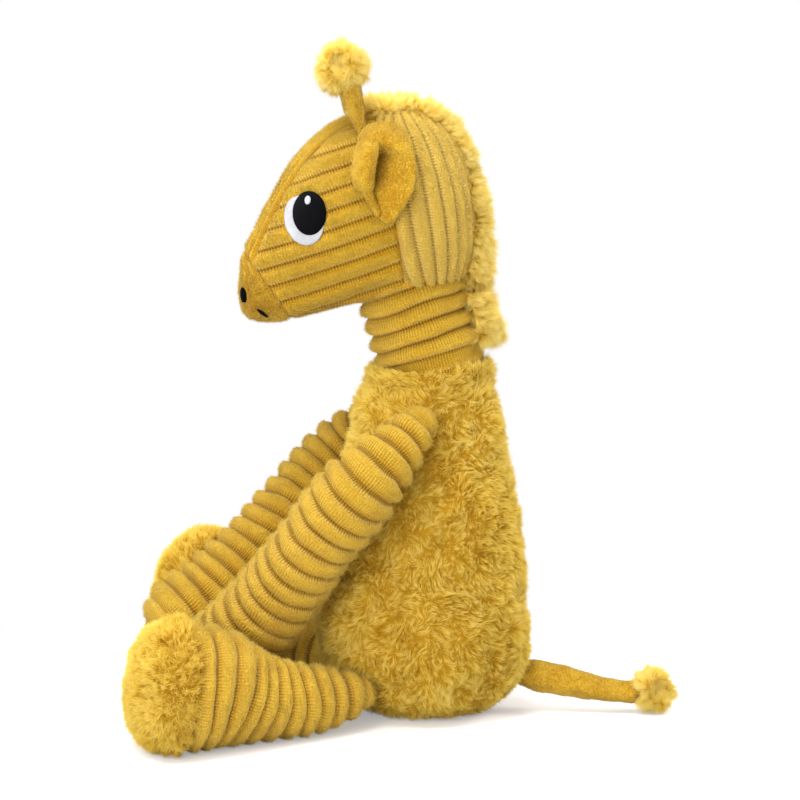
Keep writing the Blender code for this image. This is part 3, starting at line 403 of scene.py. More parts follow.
def growPile(piece, kind, seed, count, lay, weight=None, **changes):
    pile = {**piles["any"], **piles[kind], **changes}
    skin = piece.data
    skin.calc_loop_triangles()
    points, normals = readPoints(skin), readNormals(skin)
    triangles = read(skin.loop_triangles, "vertices", 3, np.int32)
    rng = np.random.default_rng(seed)
    edges = points[triangles]
    area = np.linalg.norm(np.cross(edges[:, 1] - edges[:, 0], edges[:, 2] - edges[:, 0]), axis=1) / 2
    facing = unit(normals[triangles].mean(axis=1))
    chance = area * (weight(edges.mean(axis=1), facing, triangles) if weight else 1)
    share = np.cumsum(chance) / chance.sum()
    chosen = np.minimum(np.searchsorted(share, rng.random(count)), len(triangles) - 1)
    a, b = rng.random((2, count))
    fold = a + b > 1
    a, b = np.where(fold, 1 - a, a), np.where(fold, 1 - b, b)
    bary = np.stack([1 - a - b, a, b], axis=1)[:, :, None]
    corners = triangles[chosen]
    root = (points[corners] * bary).sum(axis=1)
    normal = unit((normals[corners] * bary).sum(axis=1))
    rib = (getAttribute(skin, "rib")[corners] * bary[:, :, 0]).sum(axis=1)
    flow = lay(root, normal) + pile["stray"] * rng.normal(size=(count, 3))
    flow = unit(flow - normal * (flow * normal).sum(axis=1, keepdims=True))
    length = pile["length"] * mm * (1 + pile["uneven"] * rng.uniform(-1, 1, count))
    length = length * (1 + pile["lumps"] * cloud(root, pile["lumpSize"], 8))
    rise = pile["rise"] + pile["riseSpread"] * rng.normal(size=count)
    rise = np.clip(rise + pile["riseLumps"] * cloud(root, pile["lumpSize"], 3), 0.05, 1.5)
    tip = root + length[:, None] * (normal * np.sin(rise)[:, None] + flow * np.cos(rise)[:, None])
    tint = rng.uniform(-1, 1, count)
    if pile["clump"]:                     # the fibres of a clump lean to its leader and share its tint
        heads = min(count, max(1, int(area[chance > 0].sum() / (pile["clump"] * mm)**2)))
        tree = kdtree.KDTree(heads)
        for number in range(heads):
            tree.insert(root[number], number)
        tree.balance()
        leader = np.array([tree.find(spot)[1] for spot in root])
        pull = pile["pull"] * (0.5 + 0.5 * rng.random(count))
        tip += pull[:, None] * (tip[leader] - tip)
        tint = 0.55 * rng.uniform(-1, 1, heads)[leader] + 0.45 * tint
    tip[:, 2] = np.maximum(tip[:, 2], floorLevel)
    along = unit(tip - root)
    side = unit(np.cross(along, normal) + 1e-6 * normal)
    other = np.cross(along, side)
    width = pile["width"] * mm / 2 * (0.8 + 0.4 * rng.random(count))
    roll = rng.uniform(0, math.tau, count)

    def spokes(shift):                    # three directions round the fibre
        turns = [(roll + (step + shift) * math.tau / 3)[:, None] for step in range(3)]
        return [side * np.cos(turn) + other * np.sin(turn) for turn in turns]
    fibre = np.stack([root + spoke * width[:, None] for spoke in spokes(0)] + [tip], axis=1)
    fibre[:, :, 2] = np.maximum(fibre[:, :, 2], floorLevel)
    soft = pile["soft"]
    faces = np.stack([unit(normal * soft + face * (1 - soft)) for face in spokes(0.5)], axis=1)
    oldLoops, (oldStarts, _) = cornerPoints(skin), loopTotals(skin)
    newLoops = len(points) + np.arange(count)[:, None] * 4 + np.array([0, 1, 3, 1, 2, 3, 2, 0, 3])
    loops = np.concatenate([oldLoops, newLoops.ravel()])
    starts = np.concatenate([oldStarts, len(oldLoops) + 3 * np.arange(3 * count)])
    mesh = bpy.data.meshes.new(piece.name)
    for data, key, values, form in ((mesh.vertices, "co", np.concatenate([points, fibre.reshape(-1, 3)]), np.float32),
                                    (mesh.loops, "vertex_index", loops, np.int32),
                                    (mesh.polygons, "loop_start", starts, np.int32)):
        data.add(len(values))
        data.foreach_set(key, values.astype(form).ravel())
    mesh.update(calc_edges=True)
    mesh.polygons.foreach_set("use_smooth", np.ones(len(starts), bool))
    # painted light: pale shifts the tint so each piece looks more or less brightly lit
    base, pale = pile["bright"], pile["pale"]
    # tip runs from bright at the root to 1 at the point; the finishes paint the shade at the roots by it
    for name, values in (("rib", np.repeat(rib, 4)), ("tip", np.tile([base, base, base, 1.0], count)),
                         ("tint", np.repeat(tint + pale, 4)), ("bare", np.zeros(4 * count))):
        old = getAttribute(skin, name) + (pale if name == "tint" else 0)
        setAttribute(mesh, name, np.concatenate([old, values]))
    cloth = np.full((len(loops), 2), 0.6)
    if skin.uv_layers.get("cloth"):
        cloth[:len(oldLoops)] = read(skin.uv_layers["cloth"].data, "uv", 2)
    setCloth(mesh, *cloth.T)
    leans = np.concatenate([read(skin.corner_normals, "vector", 3), np.repeat(faces, 3, axis=1).reshape(-1, 3)])
    mesh.normals_split_custom_set(leans.astype(np.float32))
    piece.data = mesh
    bpy.data.meshes.remove(skin)


def dress(piece, body, slotName):   # it stands for the CAD node of its own name
    piece.data.materials.clear()
    piece.data.materials.append(finishes[slotName])
    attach(piece, body)
    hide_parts("".join("_" + letter.lower() if letter.isupper() else letter for letter in piece.name))


# ring stacks: a circle that is extruded and resized, ring by ring

def ringStack(name, rings, sides=40, level=1):
    z0, r0 = rings[0]
    piece = begin(name, bpy.ops.mesh.primitive_circle_add, vertices=sides, radius=r0, fill_type="NGON",
                  location=(0, 0, z0))
    edit(piece)
    for (z0, r0), (z1, r1) in zip(rings, rings[1:]):
        bpy.ops.mesh.extrude_region_move(TRANSFORM_OT_translate={"value": (0, 0, z1 - z0)})
        bpy.ops.transform.resize(value=(r1 / r0, r1 / r0, 1), center_override=(0, 0, z1))
    turnOut(piece)
    bpy.ops.object.transform_apply(location=True, rotation=True, scale=True)
    modify(piece, "SUBSURF", levels=level, render_levels=level)
    return piece


ribs = {"height": 0.9 * mm, "stitch": 1.5 * mm, "domeRibs": 3,
        # one rib from groove to groove: share of its pitch, share of its height
        "shape": [(0.0, -1.35), (0.07, -0.35), (0.19, 0.80), (0.38, 1.10), (0.66, 0.55), (0.88, -0.50)]}


def ribRings(pitch, count, radiusAt, height):
    steps = [(n + t, lift) for n in range(count) for t, lift in ribs["shape"]] + [(count, ribs["shape"][0][1])]
    return [(at * pitch, radiusAt(at * pitch) + lift * height) for at, lift in steps]


def markRibs(mesh, pitch, count, radiusAt, dome=0):
    points, more = readPoints(mesh), ribs["domeRibs"]
    at = points[:, 2] / pitch
    rib = np.where((at < 0) | (at > count), 0.8, np.abs(np.sin(math.pi * at))**0.8)
    if dome:                              # the ribs go on over a rounded end and fade to its tip
        turn = np.arcsin(np.clip((points[:, 2] - pitch * count) / dome, 0, 1)) / (math.pi / 2)
        rib = np.where(at > count, np.abs(np.sin(math.pi * turn * more))**0.8 * (1 - turn) + 0.8 * turn, rib)
        at = np.where(at > count, count + turn * more, at)
    setAttribute(mesh, "rib", rib)
    corner, (starts, totals) = cornerPoints(mesh), loopTotals(mesh)
    turn = unwrap(mesh, (np.arctan2(points[:, 1], points[:, 0]) / math.tau % 1)[corner], 1)
    ribNumber = np.clip(np.floor(np.add.reduceat(at[corner], starts) / totals), 0, count - 1).astype(int)
    stitches = np.array([round(math.tau * radiusAt((n + 0.5) * pitch) / ribs["stitch"]) for n in range(count)])
    setCloth(mesh, turn * np.repeat(stitches[ribNumber], totals), at[corner])


# camera, lamps and floor

view = {"target": Vector((0, -11.7, 157.5)) * mm, "distance": 1.2, "turn": 3.3, "climb": 5.8, "lens": 108}
lamps = {                                 # place, size, power
    "softTop": ((0.40, -0.25, 1.40), 0.8, 16), "softFront": ((1.15, -0.55, 0.5), 0.8, 8.6),
    "softBack": ((-0.25, 1.25, 0.85), 0.7, 11), "softLeft": ((-0.60, -1.10, 0.80), 0.7, 6.5)}
room = {"ambient": 0.50, "floorTone": (0.86, 0.86, 0.86, 1), "floorGlow": 0.34, "whiteFrom": 0.17, "whiteTo": 0.32}


def stand(name, data, spot, aim):
    thing = link(name, data)
    thing.location = spot
    thing.rotation_euler = aim.to_track_quat("-Z", "Y").to_euler()
    return thing


def makeCamera():
    turn, climb = math.radians(view["turn"]), math.radians(view["climb"])
    back = Vector((math.cos(climb) * math.cos(turn), -math.cos(climb) * math.sin(turn), math.sin(climb)))
    data = bpy.data.cameras.new("camera")
    data.lens, data.sensor_width, data.clip_start, data.clip_end = view["lens"], 36, 0.05, 20
    bpy.context.scene.camera = stand("camera", data, view["target"] + back * view["distance"], -back)


def makeRoom():
    for name, (spot, size, power) in lamps.items():
        data = bpy.data.lights.new(name, "AREA")
        data.shape, data.size, data.energy = "DISK", size, power
        stand(name, data, spot, view["target"] - Vector(spot))
    world = bpy.data.worlds.new("room")
    bpy.context.scene.world = world
    world.use_nodes = True
    sky, ground = Nodes(world.node_tree), world.node_tree.nodes["Background"].inputs
    rays = [sky.node("LightPath", output=f"Is {ray} Ray") for ray in ("Camera", "Glossy", "Transmission")]
    seen = rays[0].do("ADD", rays[1], clamp=True).do("ADD", rays[2], clamp=True)
    ground["Color"].default_value = (1, 1, 1, 1)
    sky.feed(ground["Strength"], sky.node("MapRange", None, {"Value": seen, "To Min": room["ambient"],
                                                             "To Max": 1.0}))
    floor = begin("floor", bpy.ops.mesh.primitive_plane_add, size=8, location=(0, 0, 0))
    f = Finish("paleFloor", Roughness=1.0, Specular_IOR_Level=0, Base_Color=room["floorTone"])
    lit = Wire(f, f.surface.outputs[0])
    glow, white = (f.node("Emission", None, {"Color": (1, 1, 1, 1), "Strength": power})
                   for power in (room["floorGlow"], 1.0))
    away = f.node("VectorMath", {"operation": "LENGTH"}, {0: f.place()}, 1)
    far = f.steps(room["whiteFrom"], room["whiteTo"], away)   # the floor turns white away from the giraffe
    seen = f.node("MixShader", None, {0: far, 1: f.node("AddShader", None, {0: lit, 1: glow}), 2: white})
    whole = f.node("MixShader", None, {0: f.node("LightPath", output="Is Camera Ray"), 1: lit, 2: seen})
    f.feed(f.tree.nodes["Material Output"].inputs[0], whole)
    floor.data.materials.append(f.material)
    bpy.context.scene.view_settings.view_transform = "Standard"


# torso

torso = {
    "radius": 53.3 * mm, "height": 174 * mm, "lean": math.radians(1.1), "widthShare": 0.94, "inset": 3.4 * mm,
    "seam": 18.0 * mm, "rim": 168.0 * mm,
    # share of the radius, share of the height
    "outline": [(0.000, 0.0000), (0.320, 0.0003), (0.470, 0.0040), (0.560, 0.0144), (0.685, 0.0316),
                (0.816, 0.0603), (0.929, 0.1063), (0.994, 0.1753), (1.000, 0.2615), (0.981, 0.3477),
                (0.949, 0.4339), (0.912, 0.5201), (0.869, 0.6063), (0.820, 0.6925), (0.765, 0.7787),
                (0.702, 0.8649), (0.653, 0.9224), (0.600, 0.9684), (0.548, 1.0000)],
    # height and radius, in mm, of the rings that fold in round the neck
    "collar": [(169.5, 30.2), (173.0, 29.6), (176.0, 29.0), (177.0, 28.3), (175.0, 27.6), (168.0, 24.0),
               (160.0, 15.0)],
    # height, spread and rise in mm of the two swellings in front
    "belly": (52, 20, 3.2), "chest": (152, 16, 3.0)}


def torsoRadius(height, inset):
    radii, places = np.array(torso["outline"]).T
    return float(np.interp(height, places * torso["height"] - 0.5 * mm, radii * torso["radius"]) - inset)


def leanTorso(mesh):
    points = readPoints(mesh) * np.array([torso["widthShare"], 1, 1])
    c, s = math.cos(-torso["lean"]), math.sin(-torso["lean"])
    return np.stack([points[:, 0], c * points[:, 1] - s * points[:, 2], s * points[:, 1] + c * points[:, 2]], axis=1)


def swell(points, name):
    height, spread, rise = (value * mm for value in torso[name])
    return rise * np.exp(-((points[:, 2] - height) / spread)**2)


def furFlow(root, normal):                # combed down a little, up at the collar, and matted in whorls
    up = ramp(152, 166, root[:, 2])[:, None]
    return (np.array([0, 0.1, -0.45]) * (1 - up) + np.array([0, 0, 1.2]) * up + 1.0 * swirl(root, 15, 11)
            + 2.0 * swirl(root, 5.5, 14) + 1.0 * swirl(root, 2.6, 15))


def makeTorso():
    heights = np.linspace(torso["seam"] - 2 * mm, torso["rim"] - 1.5 * mm, 40)
    rings = [(torso["seam"] - 3 * mm, 30 * mm)] + [(h, torsoRadius(h, torso["inset"])) for h in heights]
    body = ringStack("bodyCover", rings + [(h * mm, r * mm) for h, r in torso["collar"]], 72)
    points = leanTorso(body.data)
    writePoints(body.data, points)
    lump = 2.2 * mm * cloud(points, 23, 2) + 1.6 * mm * cloud(points, 9, 4)
    out = (lump * ramp(172, 160, points[:, 2]) + swell(points, "belly") * ramp(-10, -45, points[:, 1])
           + swell(points, "chest") * ramp(-8, -26, points[:, 1]))
    points = points + readNormals(body.data) * out[:, None]
    points[:, 2] -= 3.6 * mm * ramp(163, 170, points[:, 2]) * ramp(24, 6, points[:, 1])
    writePoints(body.data, points)

    def outside(middle, normal, _):       # above the seam, thicker at the collar, and not inside its fold
        out = middle[:, 0] * normal[:, 0] + (middle[:, 1] - 3.3 * mm) * normal[:, 1] > 0
        return (middle[:, 2] > 15.5 * mm) * (1 + 0.8 * (middle[:, 2] > 160 * mm)) * out
    growPile(body, "fur", 3, 142000, furFlow, outside, length=4.6, riseSpread=0.25, riseLumps=0.45, lumps=0.35,
             uneven=0.3, soft=0.60, pale=0.2)
    dress(body, "torso", "long_hair")

    rings = [(0.4, 6), (0.4, 16)] + [(h, torsoRadius(h * mm, 2.4 * mm) / mm) for h in (0.7, 2, 4, 7, 10, 13.5, 17)]
    rings += [(18.2, 45.6), (18.4, 40), (18.4, 8)]
    seat = ringStack("seatPanel", [(h * mm, r * mm) for h, r in rings], 64)
    points = leanTorso(seat.data)
    points[:, 2] = np.maximum(points[:, 2], floorLevel)
    writePoints(seat.data, points)
    growPile(seat, "fur", 5, 17000, furFlow,
             lambda middle, normal, _: (middle[:, 2] < 18.6 * mm) * (0.05 + (middle[:, 2] > 1.5 * mm)),
             length=3.8, rise=0.75, riseLumps=0.4, lumps=0.3, soft=0.62)
    dress(seat, "torso", "long_hair")


# neck

neck = {"pivot": Vector((0, 3.3, 181.0)) * mm, "lean": math.radians(15), "radius": 26.8 * mm, "pitch": 8.7 * mm,
        "ribs": 5, "slant": 0.06, "relief": 1.5, "ball": (-0.8, -0.62, -0.44, -0.24)}
neckPlace = Matrix.Translation(neck["pivot"]) @ Matrix.Rotation(neck["lean"], 4, "X")


def shortPile(piece, count, seed, pale=0):
    def onCrests(middle, normal, triangles):
        rib, bare = (getAttribute(piece.data, name)[triangles].mean(axis=1) for name in ("rib", "bare"))
        return smoothStep(0.55, 0.95, rib) * (1.15 - bare) + 0.01
    growPile(piece, "short", seed, count, combed((0, -0.3, -1.0), 1.2, 7, seed), onCrests, length=1.6, rise=1.0,
             stray=0.6, soft=0.60, pull=0.5, pale=pale)


def makeNeck():
    radius, pitch, count = neck["radius"], neck["pitch"], neck["ribs"]
    rings = [(radius * share, radius * math.sqrt(1 - share**2)) for share in neck["ball"]]
    rings += ribRings(pitch, count, lambda z: radius, ribs["height"] * neck["relief"]) + [(pitch * count, 10 * mm)]
    cover = ringStack("neckCover", rings, 56)
    markRibs(cover.data, pitch, count, lambda z: radius)
    points = readPoints(cover.data)
    turn = np.arctan2(points[:, 1], points[:, 0])
    slant = 0.7 * mm * cloud(points, 14, 6) + 0.5 * mm * np.sin(3 * turn + 1) + neck["slant"] * points[:, 1]
    points[:, 2] += slant * ramp(-2, 6, points[:, 2])
    points += unit(points * np.array([1, 1, 0])) * (0.45 * mm * cloud(points, 7, 7))[:, None]
    writePoints(cover.data, points)
    cover.data.transform(neckPlace)
    setAttribute(cover.data, "bare", 0.75 + 0.25 * cloud(readPoints(cover.data), 12, 34))
    shortPile(cover, 12000, 31)
    dress(cover, "neck", "ribbed_plush")


# limbs

arm = {"route": [(0, 0, 0), (9.5, -23.5, -24.0), (1.0, -47.0, -53.5), (-14.0, -66.0, -83.0), (-25.0, -84.0, -105.5),
                 (-31.0, -97.0, -117.5)],
       "radii": [9.0, 16.8, 18.2, 19.5, 21.0, 21.5], "pitch": 9.3 * mm, "lift": math.radians(8), "turn": 0,
       "round": True, "relief": 1.55, "bare": 1.0, "pale": 0.1, "tuck": 0, "sink": (-3.2, 0.4, 0)}
leg = {"route": [(0, 0, 0), (6.0, -12.0, 0.5), (11.4, -23.7, 1.3), (17.4, -38.2, 2.5), (23.4, -52.2, 6.0),
                 (30.4, -67.2, 11.0), (38.4, -90.2, 14.0)],
       "radii": [9.0, 13.0, 16.2, 19.0, 22.8, 27.5, 31.5], "pitch": 8.6 * mm, "lift": math.radians(11),
       "turn": math.radians(-6), "round": False, "relief": 1.55, "bare": 0.70, "pale": 0.25, "tuck": 3.0 * mm,
       "sink": (-1.6, 2.6, 0.6), "soleDepth": 16.5 * mm,
       # share of the sole's depth, share of its radius
       "sole": [(0.3, 0.985), (0.55, 0.90), (0.72, 0.76), (0.87, 0.55), (0.96, 0.32), (1.0, 0.12)]}


def smoothRoute(part, each=8):            # the middle line, its radii, and the length up to each point
    route = np.array(part["route"]) * mm
    places = np.arange(len(route))
    at = np.linspace(0, len(route) - 1, (len(route) - 1) * each + 1)
    line = np.stack([smoothTable(at, places, column) for column in route.T], axis=1)
    lengths = np.concatenate([[0], np.cumsum(np.linalg.norm(np.diff(line, axis=0), axis=1))])
    return line, smoothTable(at, places, np.array(part["radii"]) * mm), lengths


def bendAlong(piece, line):               # the piece stands on the origin and runs up Z
    data = bpy.data.curves.new("route", "CURVE")
    data.dimensions, data.twist_mode = "3D", "MINIMUM"
    spline = data.splines.new("POLY")
    spline.points.add(len(line) - 1)
    for spot, point in zip(spline.points, line):
        spot.co = (*point, 1)
    guide = link("route", data)
    modify(piece, "CURVE", object=guide, deform_axis="POS_Z")
    bpy.data.objects.remove(guide, do_unlink=True)


def jointPlace(name):
    joint = next(j for j in frame["joints"] if j["name"] == name)
    return Vector(joint["pos_m"]), Vector(joint["axis"])


def onFloor(mesh):
    points = readPoints(mesh)
    deep = points[:, 2] - floorLevel
    points[:, 2] = np.maximum(np.where(deep < 0, floorLevel + 0.02 * deep, points[:, 2]), floorLevel * 0.8)
    writePoints(mesh, points)


def makeLimb(name, limb, joint, side, seed):
    flip = np.array([mirror[side], 1, 1])
    line, radii, lengths = smoothRoute(limb)
    total = float(lengths[-1])
    count = round(total / limb["pitch"])
    pitch, high, more = total / count, ribs["height"] * limb["relief"], ribs["domeRibs"]

    def radiusAt(z):                      # the leg draws in before its sole
        return float(np.interp(z, lengths, radii) - limb["tuck"] * smoothStep(total - 13 * mm, total - 7 * mm, z))
    r0, r1 = float(radii[0]), radiusAt(total)
    rings = [(-r0 * math.sin(a), r0 * math.cos(a)) for a in (1.45, 1.1, 0.7, 0.3)]
    rings += ribRings(pitch, count, radiusAt, high)
    if limb["round"]:                     # the ribs go on over the rounded hand
        steps = [((n + t) / more, lift * high) for n in range(more) for t, lift in ribs["shape"]][1:]
        turns = [(at * math.pi / 2, r1 + lift * (1 - at)) for at, lift in steps]
        rings += [(total + out * math.sin(a), out * math.cos(a)) for a, out in turns]
    else:
        rings += [(total + 0.6 * mm, r1 - 3 * mm), (total + 0.6 * mm, 8 * mm)]
    cover = ringStack(name + side.title(), rings)
    markRibs(cover.data, pitch, count, radiusAt, r1 if limb["round"] else 0)
    points = readPoints(cover.data)
    along = smoothStep(0, pitch, points[:, 2]) * smoothStep(total, total - pitch, points[:, 2])
    points[:, 2] += along * (0.9 * mm * cloud(points * np.array([1, 1, 0.5]), 13, seed + 2))
    writePoints(cover.data, points)
    bendAlong(cover, line * flip)
    points, normals = readPoints(cover.data), readNormals(cover.data)
    points += normals * (0.6 * mm * cloud(points, 8, seed) + 1.0 * mm * cloud(points, 26, seed + 1))[:, None]
    near = ramp(18, 4, np.linalg.norm(points, axis=1))       # the root sinks into the body's fur
    points += near[:, None] * np.array(limb["sink"]) * mm * flip
    writePoints(cover.data, points)

    normals = readNormals(cover.data)     # where the knit shows through the pile, on the sides facing out and in
    points, lumps = readPoints(cover.data), 0.28 * cloud(readPoints(cover.data), 12, 33)
    outer = smoothStep(0.45, 0.90, normals @ unit(np.array([0.9, -0.35, 0.15]) * flip) + lumps)
    inner = smoothStep(0.35, 0.85, normals @ unit(np.array([-0.8, 0.15, -0.5]) * flip) + lumps)
    setAttribute(cover.data, "bare", limb["bare"] * np.maximum(outer, inner))

    pivot, axis = jointPlace(f"{joint}_{side}")
    place = Matrix.Translation(pivot)
    if side == "right":                   # the right limbs rest a little higher than the left ones
        place = place @ Matrix.Rotation(limb["lift"], 4, axis) @ Matrix.Rotation(limb["turn"], 4, "Z")
    cover.data.transform(place)
    if not limb["round"]:
        onFloor(cover.data)
    shortPile(cover, 22000, seed + 1, limb["pale"])
    dress(cover, name[:3] + "_" + side, "ribbed_plush")
    return place, line * flip


def makeSole(side, place, line):
    radius, depth = (leg["radii"][-1] - 2.6) * mm, leg["soleDepth"]
    rings = [(-9 * mm, radius * 0.7), (-9 * mm, radius + 0.6 * mm), (-4.5 * mm, radius + 1.6 * mm),
             (0.3 * mm, radius + 0.4 * mm)]
    sole = ringStack("footSole" + side.title(),
                     rings + [(depth * 0.86 * share, radius * size) for share, size in leg["sole"]])
    end, forward = Vector(line[-1]), Vector(line[-1] - line[-2]).normalized()
    sole.data.transform(place @ (Matrix.Translation(end) @ forward.to_track_quat("Z", "Y").to_matrix().to_4x4()))
    points = readPoints(sole.data)
    writePoints(sole.data, points + readNormals(sole.data) * (1.2 * mm * cloud(points, 10, 62))[:, None])
    onFloor(sole.data)
    aim = np.array(place.to_3x3() @ forward)
    centre = np.array(place @ (end + forward * depth * 0.4))

    def spread(root, normal):
        away = root - centre
        return away - aim * (away @ aim)[:, None] + 19 * mm * swirl(root, 8, 61)
    growPile(sole, "fur", 61, 26000, spread,
             lambda middle, normal, _: ((normal @ aim) > -0.5) * (middle[:, 2] > 0.5 * mm),
             length=5.2, riseLumps=0.35, lumps=0.25, clump=1.9, stray=0.4, soft=0.54, lumpSize=6, pale=-0.1)
    dress(sole, "leg_" + side, "long_hair")


def makeLimbs():
    for side in mirror:
        makeLimb("armCover", arm, "shoulder", side, 40)
        makeSole(side, *makeLimb("legCover", leg, "hip", side, 50))


# head

head = {
    "nose": np.array([0, -92.0, 196.8]) * mm, "length": 118 * mm, "width": 86 * mm, "height": 105 * mm, "power": 2.2,
    "stations": (0, 0.008, 0.034, 0.076, 0.136, 0.22, 0.297, 0.39, 0.483, 0.61, 0.737, 0.83, 0.898, 0.949, 0.983, 1),
    "widths": (0, 0.093, 0.163, 0.22, 0.28, 0.35, 0.407, 0.459, 0.488, 0.5, 0.483, 0.436, 0.36, 0.267, 0.151, 0),
    "tops": (0.154, 0.265, 0.345, 0.435, 0.570, 0.733, 0.834, 0.926, 0.972, 0.997, 0.992, 0.945, 0.869, 0.754, 0.602,
             0.469),
    "bases": (0.154, 0.088, 0.03, 0.007, 0, 0.011, 0.035, 0.064, 0.088, 0.097, 0.097, 0.111, 0.145, 0.211, 0.335,
              0.469)}


def headSection(y):
    share = np.clip((y - head["nose"][1]) / head["length"], 0, 1)
    half, top, base = (smoothTable(share, head["stations"], head[row]) * head[size] for row, size in
                       (("widths", "width"), ("tops", "height"), ("bases", "height")))
    return np.maximum(half, 1e-5), head["nose"][2] + (top + base) / 2, np.maximum((top - base) / 2, 1e-5)


def headPlace(share, rise):
    return head["nose"] + np.array([0, share * head["length"], rise * head["height"]])


def headLevel(points):                    # below 1 inside the head
    half, middle, tall = headSection(points[:, 1])
    share = (points[:, 1] - head["nose"][1]) / head["length"]
    level = (np.abs(points[:, 0]) / half)**head["power"] + (np.abs(points[:, 2] - middle) / tall)**head["power"]
    return np.where((share < 0) | (share > 1), 2, level)


def headRays(starts, aims, lifts=0.0):    # where rays from inside meet the head, moved out by their lifts
    aims = unit(np.asarray(aims, float))
    near, far = np.zeros(len(aims)), np.full(len(aims), head["length"])
    for _ in range(26):
        middle = (near + far) / 2
        inside = headLevel(starts + aims * middle[:, None]) < 1
        near, far = np.where(inside, middle, near), np.where(inside, far, middle)
    return starts + aims * (far + lifts)[:, None]


def headSide(y, z):                       # how far out the head's left side is
    half, middle, tall = headSection(y)
    return half * np.maximum(1 - (np.abs(z - middle) / tall)**head["power"], 0)**(1 / head["power"])


def tilted(lean):
    return np.array([0, math.cos(lean), math.sin(lean)])


panel = {
    "middle": headPlace(0.737, 0.545), "faceLow": headPlace(0.80, 0.10), "faceHigh": headPlace(0.50, 0.965),
    "faceRise": math.radians(20), "faceRibs": 11, "backRibs": 28, "backTilt": math.radians(11),
    "foreheadPitch": 7.6 * mm, "foreheadWide": 30 * mm, "foreheadNarrow": 15.0 * mm, "chinHalf": 11 * mm,
    "lip": headPlace(0, 0.2)[2], "earSeam": headPlace(0.695, 0.135), "earLean": math.radians(9.6),
    "muzzleSeam": headPlace(0.140, 0.145), "muzzleLean": math.radians(35), "thick": 1.6 * mm}
stripSlope = (panel["foreheadWide"] - panel["foreheadNarrow"]) / head["length"]
eyeAt = headPlace(0.293, 0.520)
patches = {                               # size, middle, turn to the front, tilt, spin, lift, crown, finish, threads
    "eyeWhite": (18.8, 24.6, eyeAt + np.array([0, -2.5, -3.4]) * mm, 0, -8, 22, 0.35, 0.55, "white", 150),
    "eyePupil": (16.4, 21.6, eyeAt, 0, -8, 8, 0.45, 1.2, "black", 60),
    "eyeGlint": (2.9, 4.3, eyeAt + np.array([0, -0.7, 6.4]) * mm, 0, -8, 0, 1.45, 0.6, "white", 20),
    "nostril": (3.4, 7.6, headPlace(0.084, 0.135), 32, 0, 0, 0.5, 0.8, "black", 20),
    "mouthStitch": (6.4, 1.6, headPlace(0.125, 0.050), 12, -42, 0, 0.5, 0.7, "black", 20)}


def patchFrame(name):                     # the patch's middle on the bare head, and the way it faces
    centre, turn, tilt, spin = patches[name][2:6]
    upright = Matrix(((0, 0, 1), (1, 0, 0), (0, 1, 0)))
    facing = np.array(Matrix.Rotation(math.radians(-turn), 3, "Z") @ Matrix.Rotation(math.radians(tilt), 3, "X")
                      @ upright @ Matrix.Rotation(math.radians(spin), 3, "Z"))
    return centre, facing, headRays(centre[None], facing[None, :, 2])[0]


def patchNear(points, name, margin=0):    # below 1 inside the patch, on both sides of the head
    width, height = patches[name][:2]
    _, facing, spot = patchFrame(name)
    local = (np.stack([np.abs(points[:, 0]), points[:, 1], points[:, 2]], axis=1) - spot) @ facing
    return (np.hypot(local[:, 0] / (width / 2 * mm + margin), local[:, 1] / (height / 2 * mm + margin))
            + 10 * (np.abs(local[:, 2]) > 12 * mm))


def headZones(spots):                     # behind the ears' seam, ahead of the muzzle's, and the strips' widths
    return ((spots - panel["earSeam"]) @ tilted(panel["earLean"]),
            (spots - panel["muzzleSeam"]) @ tilted(panel["muzzleLean"]),
            panel["foreheadNarrow"] + stripSlope * (spots[:, 1] - head["nose"][1]),
            spots[:, 2] > panel["lip"], np.abs(spots[:, 0]))


def takeFaces(whole, mask, name):
    piece = link(name, whole.data.copy())
    pick(piece)
    for step in (bpy.ops.mesh.select_mode, bpy.ops.mesh.delete):
        piece.data.polygons.foreach_set("select", ~mask)
        bpy.ops.object.mode_set(mode="EDIT")
        step(type="FACE")
        bpy.ops.object.mode_set(mode="OBJECT")
    return piece


def facePile(piece, count, seed, even, pale):
    def onCrests(middle, normal, triangles):
        out = ((middle - headPlace(0.5, 0.5)) * normal).sum(axis=1) > 0
        for name in ("eyeWhite", "eyePupil", "nostril", "mouthStitch"):
            out &= patchNear(middle, name, 0.5 * mm) > 1
        rib = getAttribute(piece.data, "rib")[triangles].mean(axis=1)
        return (smoothStep(0.60, 0.95, rib) + 0.01 + even) * out
    growPile(piece, "short", seed, count, combed((0, 1.0, -0.3), 0.9, 8, seed), onCrests, length=1.7, rise=0.8,
             stray=0.5, soft=0.66, pull=0.4, pale=pale)


